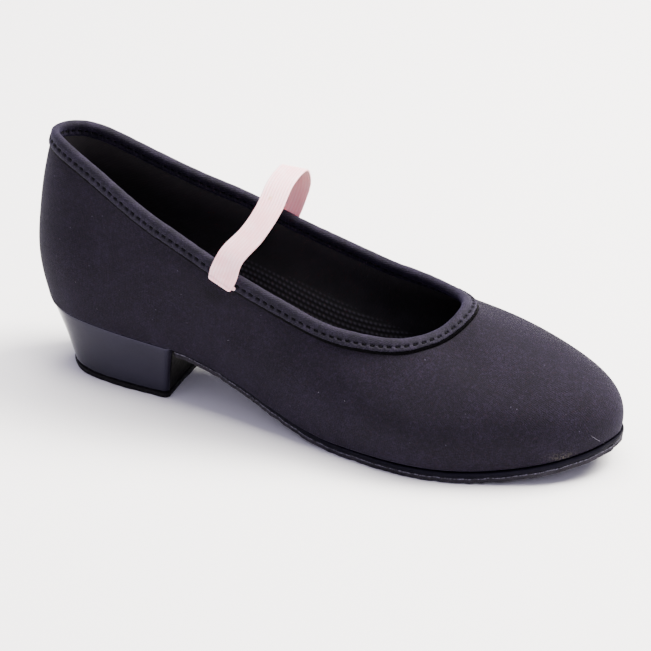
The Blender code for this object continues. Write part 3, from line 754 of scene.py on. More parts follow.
def topline_length(count=2000):
    """Lengths walked along the topline, for ways round."""
    at = np.arange(count + 1) / count
    line = topline(at)
    return at, np.concatenate([[0], np.cumsum(np.linalg.norm(np.diff(line, axis=0), axis=1))])


def even_ways(count):
    """Ways round at even distances along the topline."""
    at, walked = topline_length()
    return np.interp(np.arange(count) / count * walked[-1], walked, at)


BINDING_STEPS = 1900
STITCHES = int(round(topline_length()[1][-1] / STITCH_PITCH))


def make_binding():
    """The binding's section, carried along the topline: a tape that lies on each side of the wall and rolls
    over its edge. The seam draws it in along a line, deepest under each stitch, so that the roll above it is
    plump, it puckers between the stitches and the lip below it stands out. Below the lip is a dull black ledge,
    the tape's turned edge, whose black is painted shade under the lip. The shade attribute paints shade into
    the tape's colour in the seam, at the needle holes, along the lip's lower edge and on the inner half of the
    roll."""
    at = even_ways(BINDING_STEPS)
    along = np.arange(BINDING_STEPS) / BINDING_STEPS
    stitch = np.mod(along * STITCHES, 1) - 0.5
    pressed = smooth((STITCH_LENGTH / STITCH_PITCH / 2 + 0.06 - np.abs(stitch)) / 0.14)
    half_channel = UPPER_WALL / 2 + 0.05 * MM
    half_tape = UPPER_WALL / 2 + CLEARANCE + BINDING_THICKNESS
    close = bell((np.mod(along + 0.5, 1) - 0.5) / 0.03)  # at the back seam the tape is pressed flat
    ripple = 0.05 * MM * waves(5, along * 0.52, lengths=(0.006, 0.03), count=16)
    edge_ripple = 0.06 * MM * waves(6, along * 0.52, lengths=(0.004, 0.02), count=16)
    lip = tape_reach(at) - STITCH_LINE
    outer_rows = [STITCH_LINE + lip * k for k in (1, 0.975, 0.92, 0.82, 0.7, 0.57, 0.44, 0.32, 0.21, 0.12, 0.05)]
    outer_rows += [np.full_like(lip, STITCH_LINE * k) for k in (1, 0.92, 0.82, 0.7, 0.56, 0.4, 0.2, 0)]
    inner_rows = [STITCH_LINE + lip * k for k in (1, 0.92, 0.7, 0.4, 0.15)]
    inner_rows += [np.full_like(lip, STITCH_LINE * k) for k in (1, 0.85, 0.6, 0.3, 0)]

    def side_rows(rows, sign):
        """Rows of points down one face, from the cut edge up to the topline, and how deep each is in the seam."""
        points, seams = [], []
        for number, depth in enumerate(rows):
            seam = bell((depth - STITCH_LINE) / (0.5 * MM))
            swell = 0.12 * bell((depth - 0.8 * MM) / (1.0 * MM))
            swell = swell + 0.28 * bell((depth - STITCH_LINE - 0.5 * lip) / (0.42 * lip))
            swell = swell + 0.2 * (1 - pressed) * bell((depth - STITCH_LINE - 0.3 * MM) / (0.45 * MM))
            drawn = (0.08 + 0.62 * pressed) * seam
            tuck = (0.32, 0.09)[number] if number < 2 else 0  # the cut edge, turned in
            offset = half_tape + (swell - drawn - tuck - 0.45 * close) * MM
            offset = offset + ripple * bell((depth - 1.2 * MM) / (1.6 * MM))
            low = depth + edge_ripple * bell((depth - STITCH_LINE - lip) / (0.5 * MM))
            points.append(wall_points(at, low, sign * offset))
            seams.append(seam)
        return points, np.stack(seams, axis=1)

    outer, outer_seam = side_rows(outer_rows, 1)
    reach = STITCH_LINE + lip
    # the ledge's black is painted shade under the lip
    ledge = [wall_points(at, reach + down * MM, UPPER_WALL / 2 + out * MM)
             for down, out in ((1.15, 0.08), (0.3, 0.45))]
    inner, inner_seam = side_rows(inner_rows, -1)
    middle = wall_points(at, 0, 0)
    side = unit(outer[-1] - middle)
    top = unit(wall_points(at, -half_tape, 0) - middle)
    across = np.linalg.norm(outer[-1] - middle, axis=1)[:, None]
    roll = []
    for degrees in (20, 42, 65, 90, 115, 138, 160):
        turn = math.radians(degrees)
        roll.append(middle + across * (math.cos(turn) * side + math.sin(turn) * top))
    channel = (reach - 0.05 * MM, STITCH_LINE, 0)
    hidden = [wall_points(at, depth, -half_channel) for depth in channel]
    hidden += [middle + sign * half_channel * 0.7 * side + 0.25 * MM * top for sign in (-1, 1)]
    hidden += [wall_points(at, depth, half_channel) for depth in reversed(channel)]
    grid = np.stack(ledge + outer + roll + inner[::-1] + hidden, axis=1)
    # painted shade: the seam and needle holes on both faces, the lip's lowest row and the inner half of the roll
    outer_shade = (0.05 + 0.92 * pressed[:, None]) * outer_seam**0.6
    outer_shade[:, 0] = 0.9
    inner_shade = 0.7 * inner_seam
    over = np.linspace(0, 1, len(roll) + 2)[1:-1]
    roll_shade = 0.15 * smooth((over - 0.5) / 0.5) * np.ones((BINDING_STEPS, 1))
    unseen = np.ones((BINDING_STEPS, len(hidden)))
    turned = np.ones((BINDING_STEPS, len(ledge)))
    shade = np.concatenate([turned, outer_shade, roll_shade, inner_shade[:, ::-1], unseen], axis=1)
    made = ring_piece("topline_tape", grid, BINDING, "binding_tape", attributes={"shade": shade})
    made.data.materials.append(TAPE_EDGE)
    columns = np.arange(len(made.data.polygons)) % grid.shape[1]
    made.data.polygons.foreach_set("material_index", (columns < len(ledge)).astype(np.int32))
    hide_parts("topline_binding")
    return made


def capsules(starts, ends, normals, radius, sides=8, arch=0.15 * MM):
    """Short bent tubes, one for each start and end: rings of a circle along an arc that rises off the surface,
    small at both ends. Returns the points and faces of all of them together."""
    places = np.array([0.0, 0.06, 0.25, 0.5, 0.75, 0.94, 1.0])
    sizes = np.array([0.25, 0.75, 1.0, 1.0, 1.0, 0.75, 0.25])
    lift = np.array([-1.0, -0.5, 0.6, 1.0, 0.6, -0.5, -1.0])
    run = unit(ends - starts)
    side = unit(np.cross(normals, run))
    turns = np.arange(sides) / sides * 2 * np.pi
    centre = starts[:, None] + (ends - starts)[:, None] * places[None, :, None]
    centre = centre + normals[:, None] * (lift * arch)[None, :, None]
    cosine, sine = (f(turns)[:, None, None, None] for f in (np.cos, np.sin))
    ring = cosine * side[None, :, None] + sine * normals[None, :, None]
    points = centre[None] + ring * (sizes * radius)[None, None, :, None]
    points = points.transpose(1, 2, 0, 3)  # stitch, place, side
    one = closed_tube(len(places), sides)
    return together((stitch.reshape(-1, 3), one) for stitch in points)


def make_stitches():
    """One thread for each stitch on both faces of the binding, from hole to hole, dipping at its ends."""
    faces_of_tape = []
    rows = np.arange(BINDING_STEPS + 1) / BINDING_STEPS
    ways_of_rows = np.append(even_ways(BINDING_STEPS), 1.0)
    half = STITCH_LENGTH / STITCH_PITCH / 2
    offset = UPPER_WALL / 2 + CLEARANCE + BINDING_THICKNESS - 0.55 * MM
    for sign in (1, -1):
        middle = np.arange(STITCHES) + 0.5
        ways = [np.interp(np.mod(middle + k, STITCHES) / STITCHES, rows, ways_of_rows) for k in (-half, half)]
        jog = RANDOM.normal(0, 0.05 * MM, STITCHES)
        slants = (-STITCH_SLANT, STITCH_SLANT)
        starts, ends = (wall_points(w, STITCH_LINE + jog + k, sign * offset) for w, k in zip(ways, slants))
        normals = surface_normal(ways[0], shares_down(ways[0], STITCH_LINE)) * sign
        faces_of_tape.append(capsules(starts, ends, normals, THREAD_RADIUS))
    return piece("binding_stitches", *together(faces_of_tape), THREAD, "binding_tape")


# Sole
SOLE_AROUND = 480


def sole_edge(x):
    """How far the midsole stands out of the feather edge: inside the heel's cup behind, proud at the toe, and
    between them a parabola that is level at the toe."""
    share = np.clip((x - BREAST_X) / (FOOT_LENGTH - HEEL_LENGTH), 0, 1)
    return SEAT_EDGE + (TOE_EDGE - SEAT_EDGE) * share * (2 - share)


def sole_ring(at, offset, height):
    """The feather edge moved out by an offset and set at a height over or under the upper's underside."""
    edge = feather(at)
    ring = edge + outward(feather, at) * np.broadcast_to(offset, at.shape)[:, None]
    ring[:, 2] = underside(ring[:, 0]) + height
    return ring


def plate(name, rings, material, slot):
    """A closed plate through rings that start at the back of the heel. Its two ends are filled with strips
    across the shoe. UVs are the plan."""
    rings = np.asarray(rings)
    count = rings.shape[1]
    faces = quads(len(rings), count, False, True).tolist()
    i = np.arange(1, count // 2 - 1)
    for first, turn in ((0, 1), ((len(rings) - 1) * count, -1)):
        strips = np.stack([i, i + 1, count - i - 1, count - i], 1)
        ends = [[0, 1, count - 1], [count // 2 - 1, count // 2, count // 2 + 1]]
        for f in strips.tolist() + ends:
            faces.append([first + k for k in f[::turn]])
    points = rings.reshape(-1, 3)
    return piece(name, points, faces, material, slot, uv=points[:, :2])


def make_sock():
    """The insole: a flat sheet with rounded edges. Its top carries lengthwise rows of small long beads, each
    bead a bell in both directions, with every other row shifted by half a bead."""
    inset = -(UPPER_WALL + 2 * CLEARANCE)
    base = UPPER_WALL + 2 * CLEARANCE
    top = base + INSOLE_THICKNESS
    at = np.arange(SOLE_AROUND) / SOLE_AROUND
    rim = sole_ring(at, inset, 0)
    half = SOLE_AROUND // 2
    outer, inner = rim[: half + 1], np.concatenate([rim[:1], rim[:half - 1:-1]])
    xs = np.arange(rim[:, 0].min() + 0.3 * MM, rim[:, 0].max() - 0.3 * MM, 0.6 * MM)
    ys_outer = np.interp(xs, outer[:, 0], outer[:, 1])
    ys_inner = np.interp(xs, inner[:, 0], inner[:, 1])
    across = np.linspace(0, 1, 150)
    x = np.broadcast_to(xs[:, None], (len(xs), len(across)))
    y = ys_outer[:, None] + (ys_inner - ys_outer)[:, None] * across
    row_pitch, bead_pitch = 2.1 * MM, 3.4 * MM
    row = y / row_pitch
    line = np.floor(row)
    in_row = np.mod(row, 1) - 0.5
    in_bead = np.mod(x / bead_pitch + 0.5 * np.mod(line, 2), 1) - 0.5
    crown = bell(in_row / 0.27) * bell(in_bead / 0.30)
    from_rim = np.minimum(across, 1 - across) * np.abs(ys_inner - ys_outer)[:, None]
    rounding = smooth(from_rim / (1.2 * MM))
    crown = crown * smooth((from_rim - 1 * MM) / (1.5 * MM))
    z = underside(x) + top - 0.6 * MM * (1 - rounding) + 0.28 * MM * crown
    z = z + 0.25 * MM * waves(11, x, y, lengths=(0.02, 0.05)) * rounding
    upper_face = np.stack([x, y, z], -1)
    rows, columns = x.shape
    rim_height = underside(x) + base
    low_outer = np.stack([x[:, 0], y[:, 0], rim_height[:, 0]], -1)
    low_inner = np.stack([x[:, -1], y[:, -1], rim_height[:, -1]], -1)
    points = np.concatenate([upper_face.reshape(-1, 3), low_outer, low_inner])
    first = rows * columns
    i = np.arange(rows - 1)
    outer_side = np.stack([i * columns, (i + 1) * columns, first + i + 1, first + i], 1)
    inner_side = np.stack([(i + 1) * columns - 1, first + rows + i, first + rows + i + 1,
                           (i + 2) * columns - 1], 1)
    under = np.stack([first + i, first + i + 1, first + rows + i + 1, first + rows + i], 1)
    ends = [
        list(range(columns - 1, -1, -1)) + [first, first + rows],
        [(rows - 1) * columns + k for k in range(columns)] + [first + 2 * rows - 1, first + rows - 1],
    ]
    faces = np.concatenate([quads(rows, columns, False, False), outer_side, inner_side, under]).tolist() + ends
    made = piece("beaded_sock", points, faces, SOCK, "sock_lining",
                 attributes={"crown": np.concatenate([crown.ravel(), np.zeros(2 * rows)])})
    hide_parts("insole")
    return made


def make_sock_edge():
    """The sock's inner edge, turned up on the lining along the waist: a strip between two shares of the wall,
    highest in its middle (the square root of a sine), with the sock's beads in rows along the shoe."""
    start, end = (1 - place_at(x) for x in (0.120, 0.0))
    at = np.linspace(start, end, 330)
    rows = 60
    height = np.sin(np.pi * np.linspace(0.03, 0.97, len(at))) ** 0.5
    low, high = 0.06, 0.06 + 0.44 * height
    share = low + (high - low)[:, None] * np.linspace(0, 1, rows)
    at_grid = np.broadcast_to(at[:, None], share.shape)
    base, normal = outer_surface(at_grid, share), surface_normal(at_grid, share)
    along, across = np.moveaxis(band_uv(base), -1, 0)
    row = across / (2.1 * MM)
    in_row = np.mod(row, 1) - 0.5
    in_bead = np.mod(along / (2.0 * MM) + 0.5 * np.mod(np.floor(row), 2), 1) - 0.5
    from_rim = np.minimum(across[:, -1:] - across, np.minimum(along, along[-1] - along))
    crown = bell(in_row / 0.25) * bell(in_bead / 0.36) * smooth(from_rim / (7 * MM))
    thick = 0.45 * MM * smooth(from_rim / (8 * MM))
    front = base - normal * (UPPER_WALL - 0.1 * MM + thick + 0.22 * MM * crown)[..., None]
    back = base - normal * (UPPER_WALL - 0.25 * MM)
    section = np.concatenate([front, back[:, ::-1]], axis=1)
    return piece("sock_edge", section, closed_tube(*section.shape[:2]), SOCK, "sock_lining",
                 uv=band_uv(section), attributes={"crown": np.concatenate([crown, 0 * crown], axis=1)})


def make_midsole():
    """The board: its edge is a rounded band that stands out of the feather edge by sole_edge(x). Inside the
    lasting margin it is raised, as in the solid."""
    at = np.arange(SOLE_AROUND) / SOLE_AROUND
    x = feather(at)[:, 0]
    edge = sole_edge(x)
    uneven = 0.10 * MM * waves(21, at * 0.6, lengths=(0.008, 0.04), count=14)
    rounding = 0.45 * MM
    rings = [sole_ring(at, edge - 2.5 * MM, -MIDSOLE_THICKNESS)]
    for inset, rise in ((rounding, 0), (0.2 * rounding, 0.25 * rounding), (0, rounding)):
        rings.append(sole_ring(at, edge - inset + uneven, -MIDSOLE_THICKNESS + rise))
    for inset, rise in ((0, rounding), (0.2 * rounding, 0.25 * rounding), (rounding, 0)):
        rings.append(sole_ring(at, edge - inset + uneven, -rise))
    middle = -(LASTING_MARGIN + CLEARANCE)
    rings += [sole_ring(at, np.full_like(x, d), 0) for d in (-3 * MM, middle)]
    rings.append(sole_ring(at, np.full_like(x, middle), CLEARANCE + UPPER_WALL))
    made = plate("inked_midsole", rings, EDGE_INK, "board_edge")
    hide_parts("midsole")
    return made


def forward_ring(count, offset):
    """The plan outline of the outsole: along the outer side from the breast to the toe and back along the
    inner side. Its two ends lie at the breast, with nothing behind it."""
    start = place_at(BREAST_X + CLEARANCE)
    ways = np.linspace(start, 1 - start, count)
    edge = feather(ways)
    ring = edge + outward(feather, ways) * (sole_edge(edge[:, 0]) - OUTSOLE_STEP + offset)[:, None]
    ring[:, 0] = np.maximum(ring[:, 0], BREAST_X + CLEARANCE)
    return ring


def make_outsole():
    """The suede sole: two faces that follow the sole's bend and a napped, slightly rounded edge between them."""
    count = 400
    uneven = 0.14 * MM * waves(31, np.arange(count) / count * 0.45, lengths=(0.004, 0.02), count=16)
    rings, raw = [], []
    profile = (
        # inset and depth in mm
        (3, 0), (-0.35, 0), (-0.5, 0.12), (-0.5, 0.4), (-0.4, 0.6), (-0.35, 1.95), (-0.1, 2.25), (0.3, 2.4),
        (3, 2.4),
    )
    for inset, depth in profile:
        ring = forward_ring(count, -inset * MM + uneven * (inset < 1))
        raw.append(np.full(count, 1.0 if 0 < depth < 0.5 else 0.0))
        ring[:, 2] = underside(ring[:, 0]) - MIDSOLE_THICKNESS - CLEARANCE - depth * MM
        rings.append(ring)
    rings = np.array(rings)
    # the two ends of each ring meet across the breast
    faces = quads(len(rings), count, False, False).tolist()
    last = (len(rings) - 1) * count
    for k in range(len(rings) - 1):
        faces.append([(k + 1) * count, (k + 2) * count - 1, (k + 1) * count - 1, k * count])
    i = np.arange(0, count // 2 - 1)
    strips = np.stack([i, i + 1, count - i - 2, count - i - 1], 1)
    faces += strips.tolist() + (strips + last).tolist()
    made = piece("suede_outsole", rings, faces, SUEDE, "suede", uv=rings.reshape(-1, 3)[:, :2],
                 attributes={"raw": np.array(raw)})
    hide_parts("outsole")
    return made


# Heel
HEEL_TO_LIFT = 0.09 * MM  # gap between the heel block and its lift
BREAST_SILL = 0.05 * MM  # height of the cup's rim across the breast


def heel_outline(inset, corner, behind, count=220, breast_count=60):
    """Closed outline of the heel's top, inset from the feather edge: round the back from breast to breast, an arc
    at each corner, and a shallow hollow across the breast. Returns it and which of its points are on the wall."""
    breast_way = place_at(BREAST_X - BREAST_CORNER)
    ways = np.linspace(breast_way, -breast_way, count)
    back = feather(ways) - inset * outward(feather, ways)
    inner, outer = back[-1], back[0]
    share = np.linspace(0, 1, breast_count)
    y = (inner[1] - corner) * (1 - share) + (outer[1] + corner) * share
    breast = np.stack([BREAST_X - behind - BREAST_HOLLOW * np.sin(np.pi * share), y, 0 * share], 1)
    turns = np.radians(np.linspace(0, 90, 9))[1:-1]
    reach = BREAST_X - behind - inner[0]
    sine, cosine = np.sin(turns), np.cos(turns)
    inner_corner = np.stack([inner[0] + reach * sine, inner[1] - corner * (1 - cosine), 0 * turns], 1)
    outer_corner = np.stack([outer[0] + reach * cosine, outer[1] + corner * (1 - sine), 0 * turns], 1)
    ring = np.concatenate([back * (1, 1, 0), inner_corner, breast, outer_corner])
    on_wall = np.ones(len(ring), bool)
    on_wall[count + len(turns) : count + len(turns) + breast_count] = False
    return ring, on_wall


def heel_ring(share, length, width):
    """The outline at a share of the way down to an outline of this length and width on the floor."""
    ring = heel_outline(HEEL_INSET, BREAST_CORNER, 0)[0]
    low, high = ring.min(axis=0), ring.max(axis=0)
    floor = ring.copy()
    floor[:, 0] = (ring[:, 0] - (low[0] + high[0]) / 2) * length / (high[0] - low[0])
    floor[:, 1] = (ring[:, 1] - (low[1] + high[1]) / 2) * width / (high[1] - low[1])
    return ring + (floor - ring) * share


def shrunk(ring, by):
    """A ring drawn in towards its middle by a distance."""
    centre = (ring.min(axis=0) + ring.max(axis=0)) / 2
    half = (ring.max(axis=0) - ring.min(axis=0))[:2] / 2
    moved = ring.copy()
    moved[:, :2] = centre[:2] + (ring[:, :2] - centre[:2]) * (1 - by / half)
    return moved


def stacked(name, rings, material, slot):
    """A solid through closed rings, with edges of over 45 degrees left sharp."""
    made = piece(name, rings, closed_tube(len(rings), len(rings[0])), material, slot)
    made.data.set_sharp_from_angle(angle=math.radians(45))
    return made


def make_heel():
    """The heel: straight walls from the seat's outline to the lift's, pinched a little half-way down, with the
    cover rolled in at the bottom and over the rim of the cup that holds the midsole. Across the breast the top
    lies under the midsole instead."""
    bottom = LIFT_THICKNESS + HEEL_TO_LIFT
    length, width = LIFT_LENGTH - 2 * LIFT_LIP, LIFT_WIDTH - 2 * LIFT_LIP
    seat, on_wall = heel_outline(HEEL_INSET + HEEL_RIM, 0, HEEL_RIM)
    low = underside(seat[:, 0]) - MIDSOLE_THICKNESS - CLEARANCE
    seat[:, 2] = low
    rim = seat.copy()
    rim[:, 2] = np.where(on_wall, underside(seat[:, 0]), low + BREAST_SILL)
    outline = heel_ring(0, length, width)
    top = underside(outline[:, 0]) - np.where(on_wall, 0, MIDSOLE_THICKNESS + CLEARANCE)
    rings = [seat, rim]
    for share, inset, drop in ((0, 0.5, 0), (0, 0.2, 0.05), (0, 0.05, 0.2), (0, 0, 0.5),
                               *((t, 0, 0) for t in np.linspace(0.08, 0.92, 14)),
                               (0.965, 0, 0), (0.985, 0.05, 0), (1, 0.25, 0), (1, 0.8, 0)):
        ring = shrunk(heel_ring(share, length, width), inset * MM + 0.4 * MM * math.sin(math.pi * share) ** 2)
        ring[:, 2] = top - drop * MM + (bottom - top) * share
        rings.append(ring)
    made = stacked("covered_heel", rings, PATENT, "heel_cover")
    # painted shade: the breast's faces get the dull black finish
    made.data.materials.append(BREAST)
    faces = np.arange(len(made.data.polygons))
    across_breast = (faces < (len(rings) - 1) * len(seat)) & ~on_wall[faces % len(seat)]
    made.data.polygons.foreach_set("material_index", across_breast.astype(np.int32))
    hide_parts("heel")
    return made


def make_lift():
    """The lift: the heel's floor outline, a little proud of it, with worn edges."""
    rings = []
    count = len(heel_ring(1, LIFT_LENGTH, LIFT_WIDTH))
    uneven = 0.10 * MM * waves(41, np.arange(count) / count * 0.17, lengths=(0.006, 0.03), count=12)
    for inset, height in ((0.4, 2.2), (0.08, 2.12), (0, 1.9), (0, 0.45), (0.12, 0.15), (0.45, 0)):
        ring = shrunk(heel_ring(1, LIFT_LENGTH, LIFT_WIDTH), inset * MM)
        out = unit(ring - ring.mean(axis=0))
        ring = ring + out * uneven[:, None]
        ring[:, 2] = height * MM
        rings.append(ring)
    made = stacked("rubber_lift", rings, RUBBER, "lift_rubber")
    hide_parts("heel_lift")
    return made


# Strap
def smooth_line(points, steps):
    """A Catmull-Rom curve through points, with even steps between each pair."""
    ends = np.concatenate([[2 * points[0] - points[1]], points, [2 * points[-1] - points[-2]]])
    t = (np.arange(steps) / steps)[None, :, None]
    before, start, end, after = (ends[k : len(ends) - 3 + k, None] for k in range(4))
    line = start + t / 2 * (end - before) + t**2 / 2 * (2 * before - 5 * start + 4 * end - after)
    line = line + t**3 / 2 * (3 * start - before - 3 * end + after)
    return np.concatenate([line.reshape(-1, 3), points[-1:]])


def strap_way(place, side, depth):
    """The way round at which the strap lies on the outer wall at a depth: side is -1 behind, 1 before its
    middle. It leans towards the toe as it rises."""
    lean = math.radians(STRAP_LEAN)
    sideways = side * STRAP_WIDTH / 2 / math.cos(lean) - depth * math.tan(lean)
    return place_at(HEEL_BACK_X + place * FOOT_LENGTH + sideways, topline)


def strap_arch():
    """Points of the strap's middle over the opening, and unit vectors across it towards the toe, square to
    its run."""
    start = topline(np.array(strap_way(STRAP_OUTER_PLACE, 0, 0)))
    end = topline(np.array(1 - strap_way(STRAP_INNER_PLACE, 0, 0)))
    forward, across, up = STRAP_WAY.T[:, :, None]
    middle = start + (end - start) * across + STRAP_ARCH * (forward * (1, 0, 0) + up * UP)
    run = unit(np.gradient(np.concatenate([[start], middle, [end]]), axis=0)[1:-1])
    return middle, unit(np.array([1.0, 0, 0]) - run[:, :1] * run)


STRAP_MIDDLE, STRAP_AHEAD = strap_arch()


def strap_path(side):
    """The strap's inner face at side (-1 behind to 1 before) times half its width: up the outer wall, over the
    opening by STRAP_WAY, and down the inner wall. It is sewn down a clearance off the binding and, below the
    binding, pulled in almost to the canvas."""
    off = UPPER_WALL / 2 + CLEARANCE + BINDING_THICKNESS + CLEARANCE
    canvas = UPPER_WALL / 2 + CLEARANCE + STRAP_THICKNESS
    rows = ((BINDING_WIDTH + STRAP_HEM, canvas), (BINDING_WIDTH + STRAP_HEM - 0.9 * MM, canvas + 0.1 * MM),
            (BINDING_WIDTH + 0.3 * MM, off - 0.1 * MM), (BINDING_WIDTH / 2, off), (0, off))

    def on_wall(depth, offset, inner):
        """The point of the strap's line at a depth below the topline, on the outer or inner wall."""
        place = STRAP_INNER_PLACE if inner else STRAP_OUTER_PLACE
        way = strap_way(place, side, depth)
        return wall_points(np.array([1 - way if inner else way]), depth, offset)[0]

    rising = [on_wall(*row, False) for row in rows]
    falling = [on_wall(*row, True) for row in reversed(rows)]
    over = STRAP_MIDDLE + side * STRAP_WIDTH / 2 * STRAP_AHEAD
    return smooth_line(np.array([*rising, *over, *falling]), 14)


RIBS = 9
STAIN = np.array([0.0632, -0.0074, 0.0882])  # a tiny yellow speck


def strap_lines(sides):
    """Lines of the strap's inner face at each side, and its outward unit normals."""
    places = np.linspace(-1, 1, 9)
    columns = np.array([strap_path(s) for s in places])
    order = np.clip(np.searchsorted(places, sides, side="right") - 1, 0, 7)
    t = ((sides - places[order]) / (places[1] - places[0]))[:, None, None]
    lines = (columns[order] * (1 - t) + columns[order + 1] * t).transpose(1, 0, 2)
    out = unit(np.cross(np.gradient(lines, axis=1), np.gradient(lines, axis=0)))
    return lines, out


def make_strap():
    """The elastic: sheets of lines from strap_path across the width, with a ribbed face on each side (sine
    ridges, RIBS of them) and rolled edges. Both corners of each end are rounded by a quarter circle."""
    sides = np.linspace(-1, 1, 73)
    lines, out = strap_lines(sides)
    along = np.concatenate([[0], np.cumsum(np.linalg.norm(np.diff(lines[:, 36], axis=0), axis=1))])
    corner = 1.6 * MM
    from_end = np.minimum(along, along[-1] - along)
    cut = np.where(from_end < corner, corner - np.sqrt(np.clip(corner**2 - (corner - from_end) ** 2, 0, None)), 0)
    gathered = 0.11 * bell(from_end / (7 * MM))  # the stitching draws each end in
    narrow = 1 - (cut / (STRAP_WIDTH / 2) + gathered)[:, None, None]
    centre = lines[:, 36:37]
    lines = centre + (lines - centre) * narrow
    rib = 0.5 + 0.5 * np.cos(np.pi * RIBS * sides)
    ridge = rib * 0.16 * MM
    rolled = np.sqrt(np.clip(1 - (np.clip(np.abs(sides) - 0.955, 0, None) / 0.05) ** 2, 0, 1))
    half = (STRAP_THICKNESS - 0.18 * MM) / 2
    end_roll = np.sqrt(np.clip(1 - (1 - np.clip(from_end / (0.5 * MM), 0, 1)) ** 2, 0.02, 1))[:, None, None]
    outer = lines + out * (half + ((half + ridge) * rolled)[None, :, None] * end_roll)
    inner = lines + out * (half - ((half - 0.4 * ridge) * rolled)[None, :, None] * end_roll)
    section = np.concatenate([outer, inner[:, ::-1][:, 1:-1]], axis=1)
    # painted shade: darker rib valleys, and an inner face that darkens towards the top of the arch
    both = np.concatenate([1 - rib, (1 - rib)[::-1][1:-1]])
    valley = np.broadcast_to(both, section.shape[:2])
    height = (section[..., 2] - section[..., 2].min()) / np.ptp(section[..., 2])
    inside = (np.arange(section.shape[1]) >= len(sides)) * (0.25 + 0.75 * smooth(height * 1.6 - 0.6))
    stain = bell(np.linalg.norm(section - STAIN, axis=2) / (0.6 * MM))
    wide = np.concatenate([sides, sides[::-1][1:-1]]) * STRAP_WIDTH / 2
    uv = np.stack(np.meshgrid(along, wide, indexing="ij"), -1)
    made = piece("ribbed_elastic", section, closed_tube(*section.shape[:2]), ELASTIC, "elastic", uv=uv,
                 attributes={"valley": valley, "inside": inside, "stain": stain})
    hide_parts("strap")
    return made


def make_hem_tucks():
    """The end of the elastic that is folded under at each hem: a flat pad with a rounded outline between the
    hem and the canvas, which shows past the strap's front edge."""
    turns = np.arange(48) / 48 * 2 * np.pi
    corner = 0.55  # power of the sine and cosine that squares the outline
    levels = np.linspace(0, 1, 7)
    pads = []
    for inner in (False, True):
        place = STRAP_INNER_PLACE if inner else STRAP_OUTER_PLACE
        rings = []
        for level in levels:
            rim = 1 - 0.16 * (1 - math.sqrt(1 - (2 * level - 1) ** 2))
            square_sine, square_cosine = (np.sign(f) * abs(f) ** corner for f in (np.sin(turns), np.cos(turns)))
            depth = BINDING_WIDTH - 0.25 * MM + 1.15 * MM * rim * square_sine
            side = 0.1 + 0.95 * (0.85 + 0.15 * rim) * square_cosine
            ways = np.array([strap_way(place, b, a) for a, b in zip(depth, side)])
            offset = UPPER_WALL / 2 + 0.3 * MM + 1.35 * MM * level
            rings.append(wall_points(1 - ways if inner else ways, depth, offset))
        pads.append((np.concatenate(rings), closed_tube(len(rings), len(turns))))
    points, faces = together(pads)
    none = np.zeros(len(points))
    # painted shade: the pads under the hem, darkened a little in colour
    return piece("hem_tucks", points, faces, ELASTIC, "elastic", uv=points[:, :2],
                 attributes={"valley": none + 0.3, "inside": none + 0.15, "stain": none})


# Lint and stray fibres
LINT_RADIUS = 0.042 * MM


def settled(points, lift):
    """Points moved along the normal of the nearest vertex of the shoe until they lie that far off the surface."""
    pieces = [o for o in bpy.context.scene.objects if o.type == "MESH" and o.get("lint_lies_here")]
    places, normals = [], []
    for made in pieces:
        for name, rows in (("co", places), ("normal", normals)):
            values = np.empty(len(made.data.vertices) * 3, np.float32)
            made.data.vertices.foreach_get(name, values)
            rows.append(values.reshape(-1, 3))
    places, normals = np.concatenate(places), np.concatenate(normals)
    nearest = [int(np.argmin(np.square(places - p).sum(axis=1))) for p in points]
    off = ((places[nearest] - points) * normals[nearest]).sum(axis=1, keepdims=True)
    return points + normals[nearest] * (off + lift)


def tube(points, radius, sides=5):
    """A round tube along a smooth curve through points, thinner at its two ends. Returns points and faces."""
    line = smooth_line(points, 5)
    run = unit(np.gradient(line, axis=0))
    side = unit(np.cross(run, (0.3, 0.5, 0.81)))
    turns = np.arange(sides) / sides * 2 * np.pi
    ring = np.cos(turns)[:, None] * side[:, None] + np.sin(turns)[:, None] * np.cross(side, run)[:, None]
    size = radius * np.sqrt(np.clip(1 - np.linspace(-1, 1, len(line)) ** 2, 0.1, 1))
    return (line[:, None] + ring * size[:, None, None]).reshape(-1, 3), closed_tube(len(line), sides)


def make_lint():
    """Fine fibres lying on the shoe, each a thin tube: one curved one lies on the lining and one hangs at the
    toe; the rest are short specks."""
    fibres = [
        [(0.0649, 0.0232, 0.0258), (0.0663, 0.0240, 0.0273), (0.0683, 0.0243, 0.0269), (0.0705, 0.0239, 0.0245)],
        [(0.1972, -0.0120, 0.0188), (0.1991, -0.0096, 0.0161), (0.2007, -0.0060, 0.0130)],
    ]
    specks = [
        (0.0166, -0.0241, 0.0226), (-0.0162, -0.0159, 0.0940), (-0.0125, -0.0248, 0.0444),
        (0.0561, -0.0304, 0.0365), (0.0966, -0.0367, 0.0264), (0.1078, -0.0377, 0.0259),
        (0.1352, -0.0231, 0.0381), (0.1414, -0.0241, 0.0362), (0.1487, -0.0181, 0.0387),
        (0.1537, 0.0045, 0.0444), (0.1883, -0.0157, 0.0275), (-0.0032, -0.0256, 0.0348), (0.0081, -0.0272, 0.0464),
    ]
    for place in np.array(specks):
        reach = unit(RANDOM.normal(size=3)) * RANDOM.uniform(0.12, 0.35) * MM
        bend = RANDOM.normal(size=3) * 0.08 * MM
        fibres.append([place - reach, place + bend, place + reach])
    tubes = [tube(settled(np.array(fibre), LINT_RADIUS), LINT_RADIUS) for fibre in fibres]
    return piece("lint", *together(tubes), LINT, "canvas")


for make in (make_canvas, make_lining, make_binding, make_stitches, make_sock, make_sock_edge,
             make_midsole, make_outsole, make_heel, make_lift, make_strap, make_hem_tucks):
    make()["lint_lies_here"] = True
make_lint()


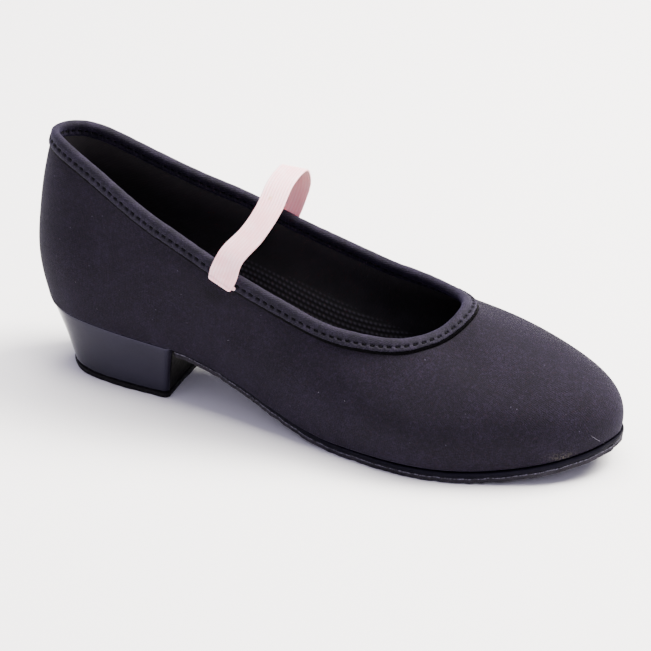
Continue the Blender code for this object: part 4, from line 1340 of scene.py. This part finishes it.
# Floor, light and camera
TARGET = (0.09, 0.0, 0.03)  # what the camera and the lamps point at


def make_floor():
    """A plain pale sheet under the shoe."""
    made = finish("pale_paper", Roughness=0.9, Specular_IOR_Level=0.1, Base_Color=linear("F4F4F6"))[0]
    mesh = bpy.data.meshes.new("floor")
    size = 4.0
    mesh.from_pydata([(-size, -size, 0), (size, -size, 0), (size, size, 0), (-size, size, 0)], [], [(0, 1, 2, 3)])
    floor = bpy.data.objects.new("floor", mesh)
    floor.data.materials.append(made)
    bpy.context.scene.collection.objects.link(floor)


def aim(place, target):
    """The rotation that turns an object's -Z from a place to a target, with its +Y up."""
    return (Vector(target) - Vector(place)).to_track_quat("-Z", "Y").to_euler()


def make_lamp(name, place, size, power, colour):
    """A softbox at a place, of (width, height) and watts, turned to the shoe."""
    data = bpy.data.lights.new(name, "AREA")
    data.shape = "RECTANGLE"
    data.size, data.size_y = size
    data.energy = power
    data.color = linear(colour)[:3]
    lamp = bpy.data.objects.new(name, data)
    lamp.location = place
    lamp.rotation_euler = aim(place, TARGET)
    bpy.context.scene.collection.objects.link(lamp)


CAMERA_AZIMUTH, CAMERA_ELEVATION, CAMERA_DISTANCE = 24.5, 28.386, 1.3
FOCAL_PIXELS, IMAGE_PIXELS = 3373.4, 651  # as fitted to the photograph
FILM_WIDTH = 36  # mm
CENTRE_OFF = (17.03, 13.08)  # the lens axis right of and below the middle of the picture, in pixels

make_floor()
make_lamp("key_softbox", (0.9, 0.75, 1.35), (0.9, 0.9), 122, "FFFAF0")
make_lamp("top_softbox", (0.15, 0.3, 1.6), (1.6, 1.2), 84, "FFFAF0")

world = bpy.data.worlds.new("pale_studio")
world.use_nodes = True
world.node_tree.nodes["Background"].inputs["Color"].default_value = linear("EAE3FF")
world.node_tree.nodes["Background"].inputs["Strength"].default_value = 0.9
bpy.context.scene.world = world

azimuth, elevation = math.radians(CAMERA_AZIMUTH), math.radians(CAMERA_ELEVATION)
towards = (math.sin(azimuth) * math.cos(elevation), -math.cos(azimuth) * math.cos(elevation), math.sin(elevation))
camera_data = bpy.data.cameras.new("camera")
camera_data.sensor_fit = "HORIZONTAL"
camera_data.sensor_width = FILM_WIDTH
camera_data.lens = FOCAL_PIXELS / IMAGE_PIXELS * FILM_WIDTH
camera_data.shift_x = -CENTRE_OFF[0] / IMAGE_PIXELS
camera_data.shift_y = CENTRE_OFF[1] / IMAGE_PIXELS
camera = bpy.data.objects.new("camera", camera_data)
camera.location = [t + CAMERA_DISTANCE * w for t, w in zip(TARGET, towards)]
camera.rotation_euler = aim(camera.location, TARGET)
bpy.context.scene.collection.objects.link(camera)
bpy.context.scene.camera = camera
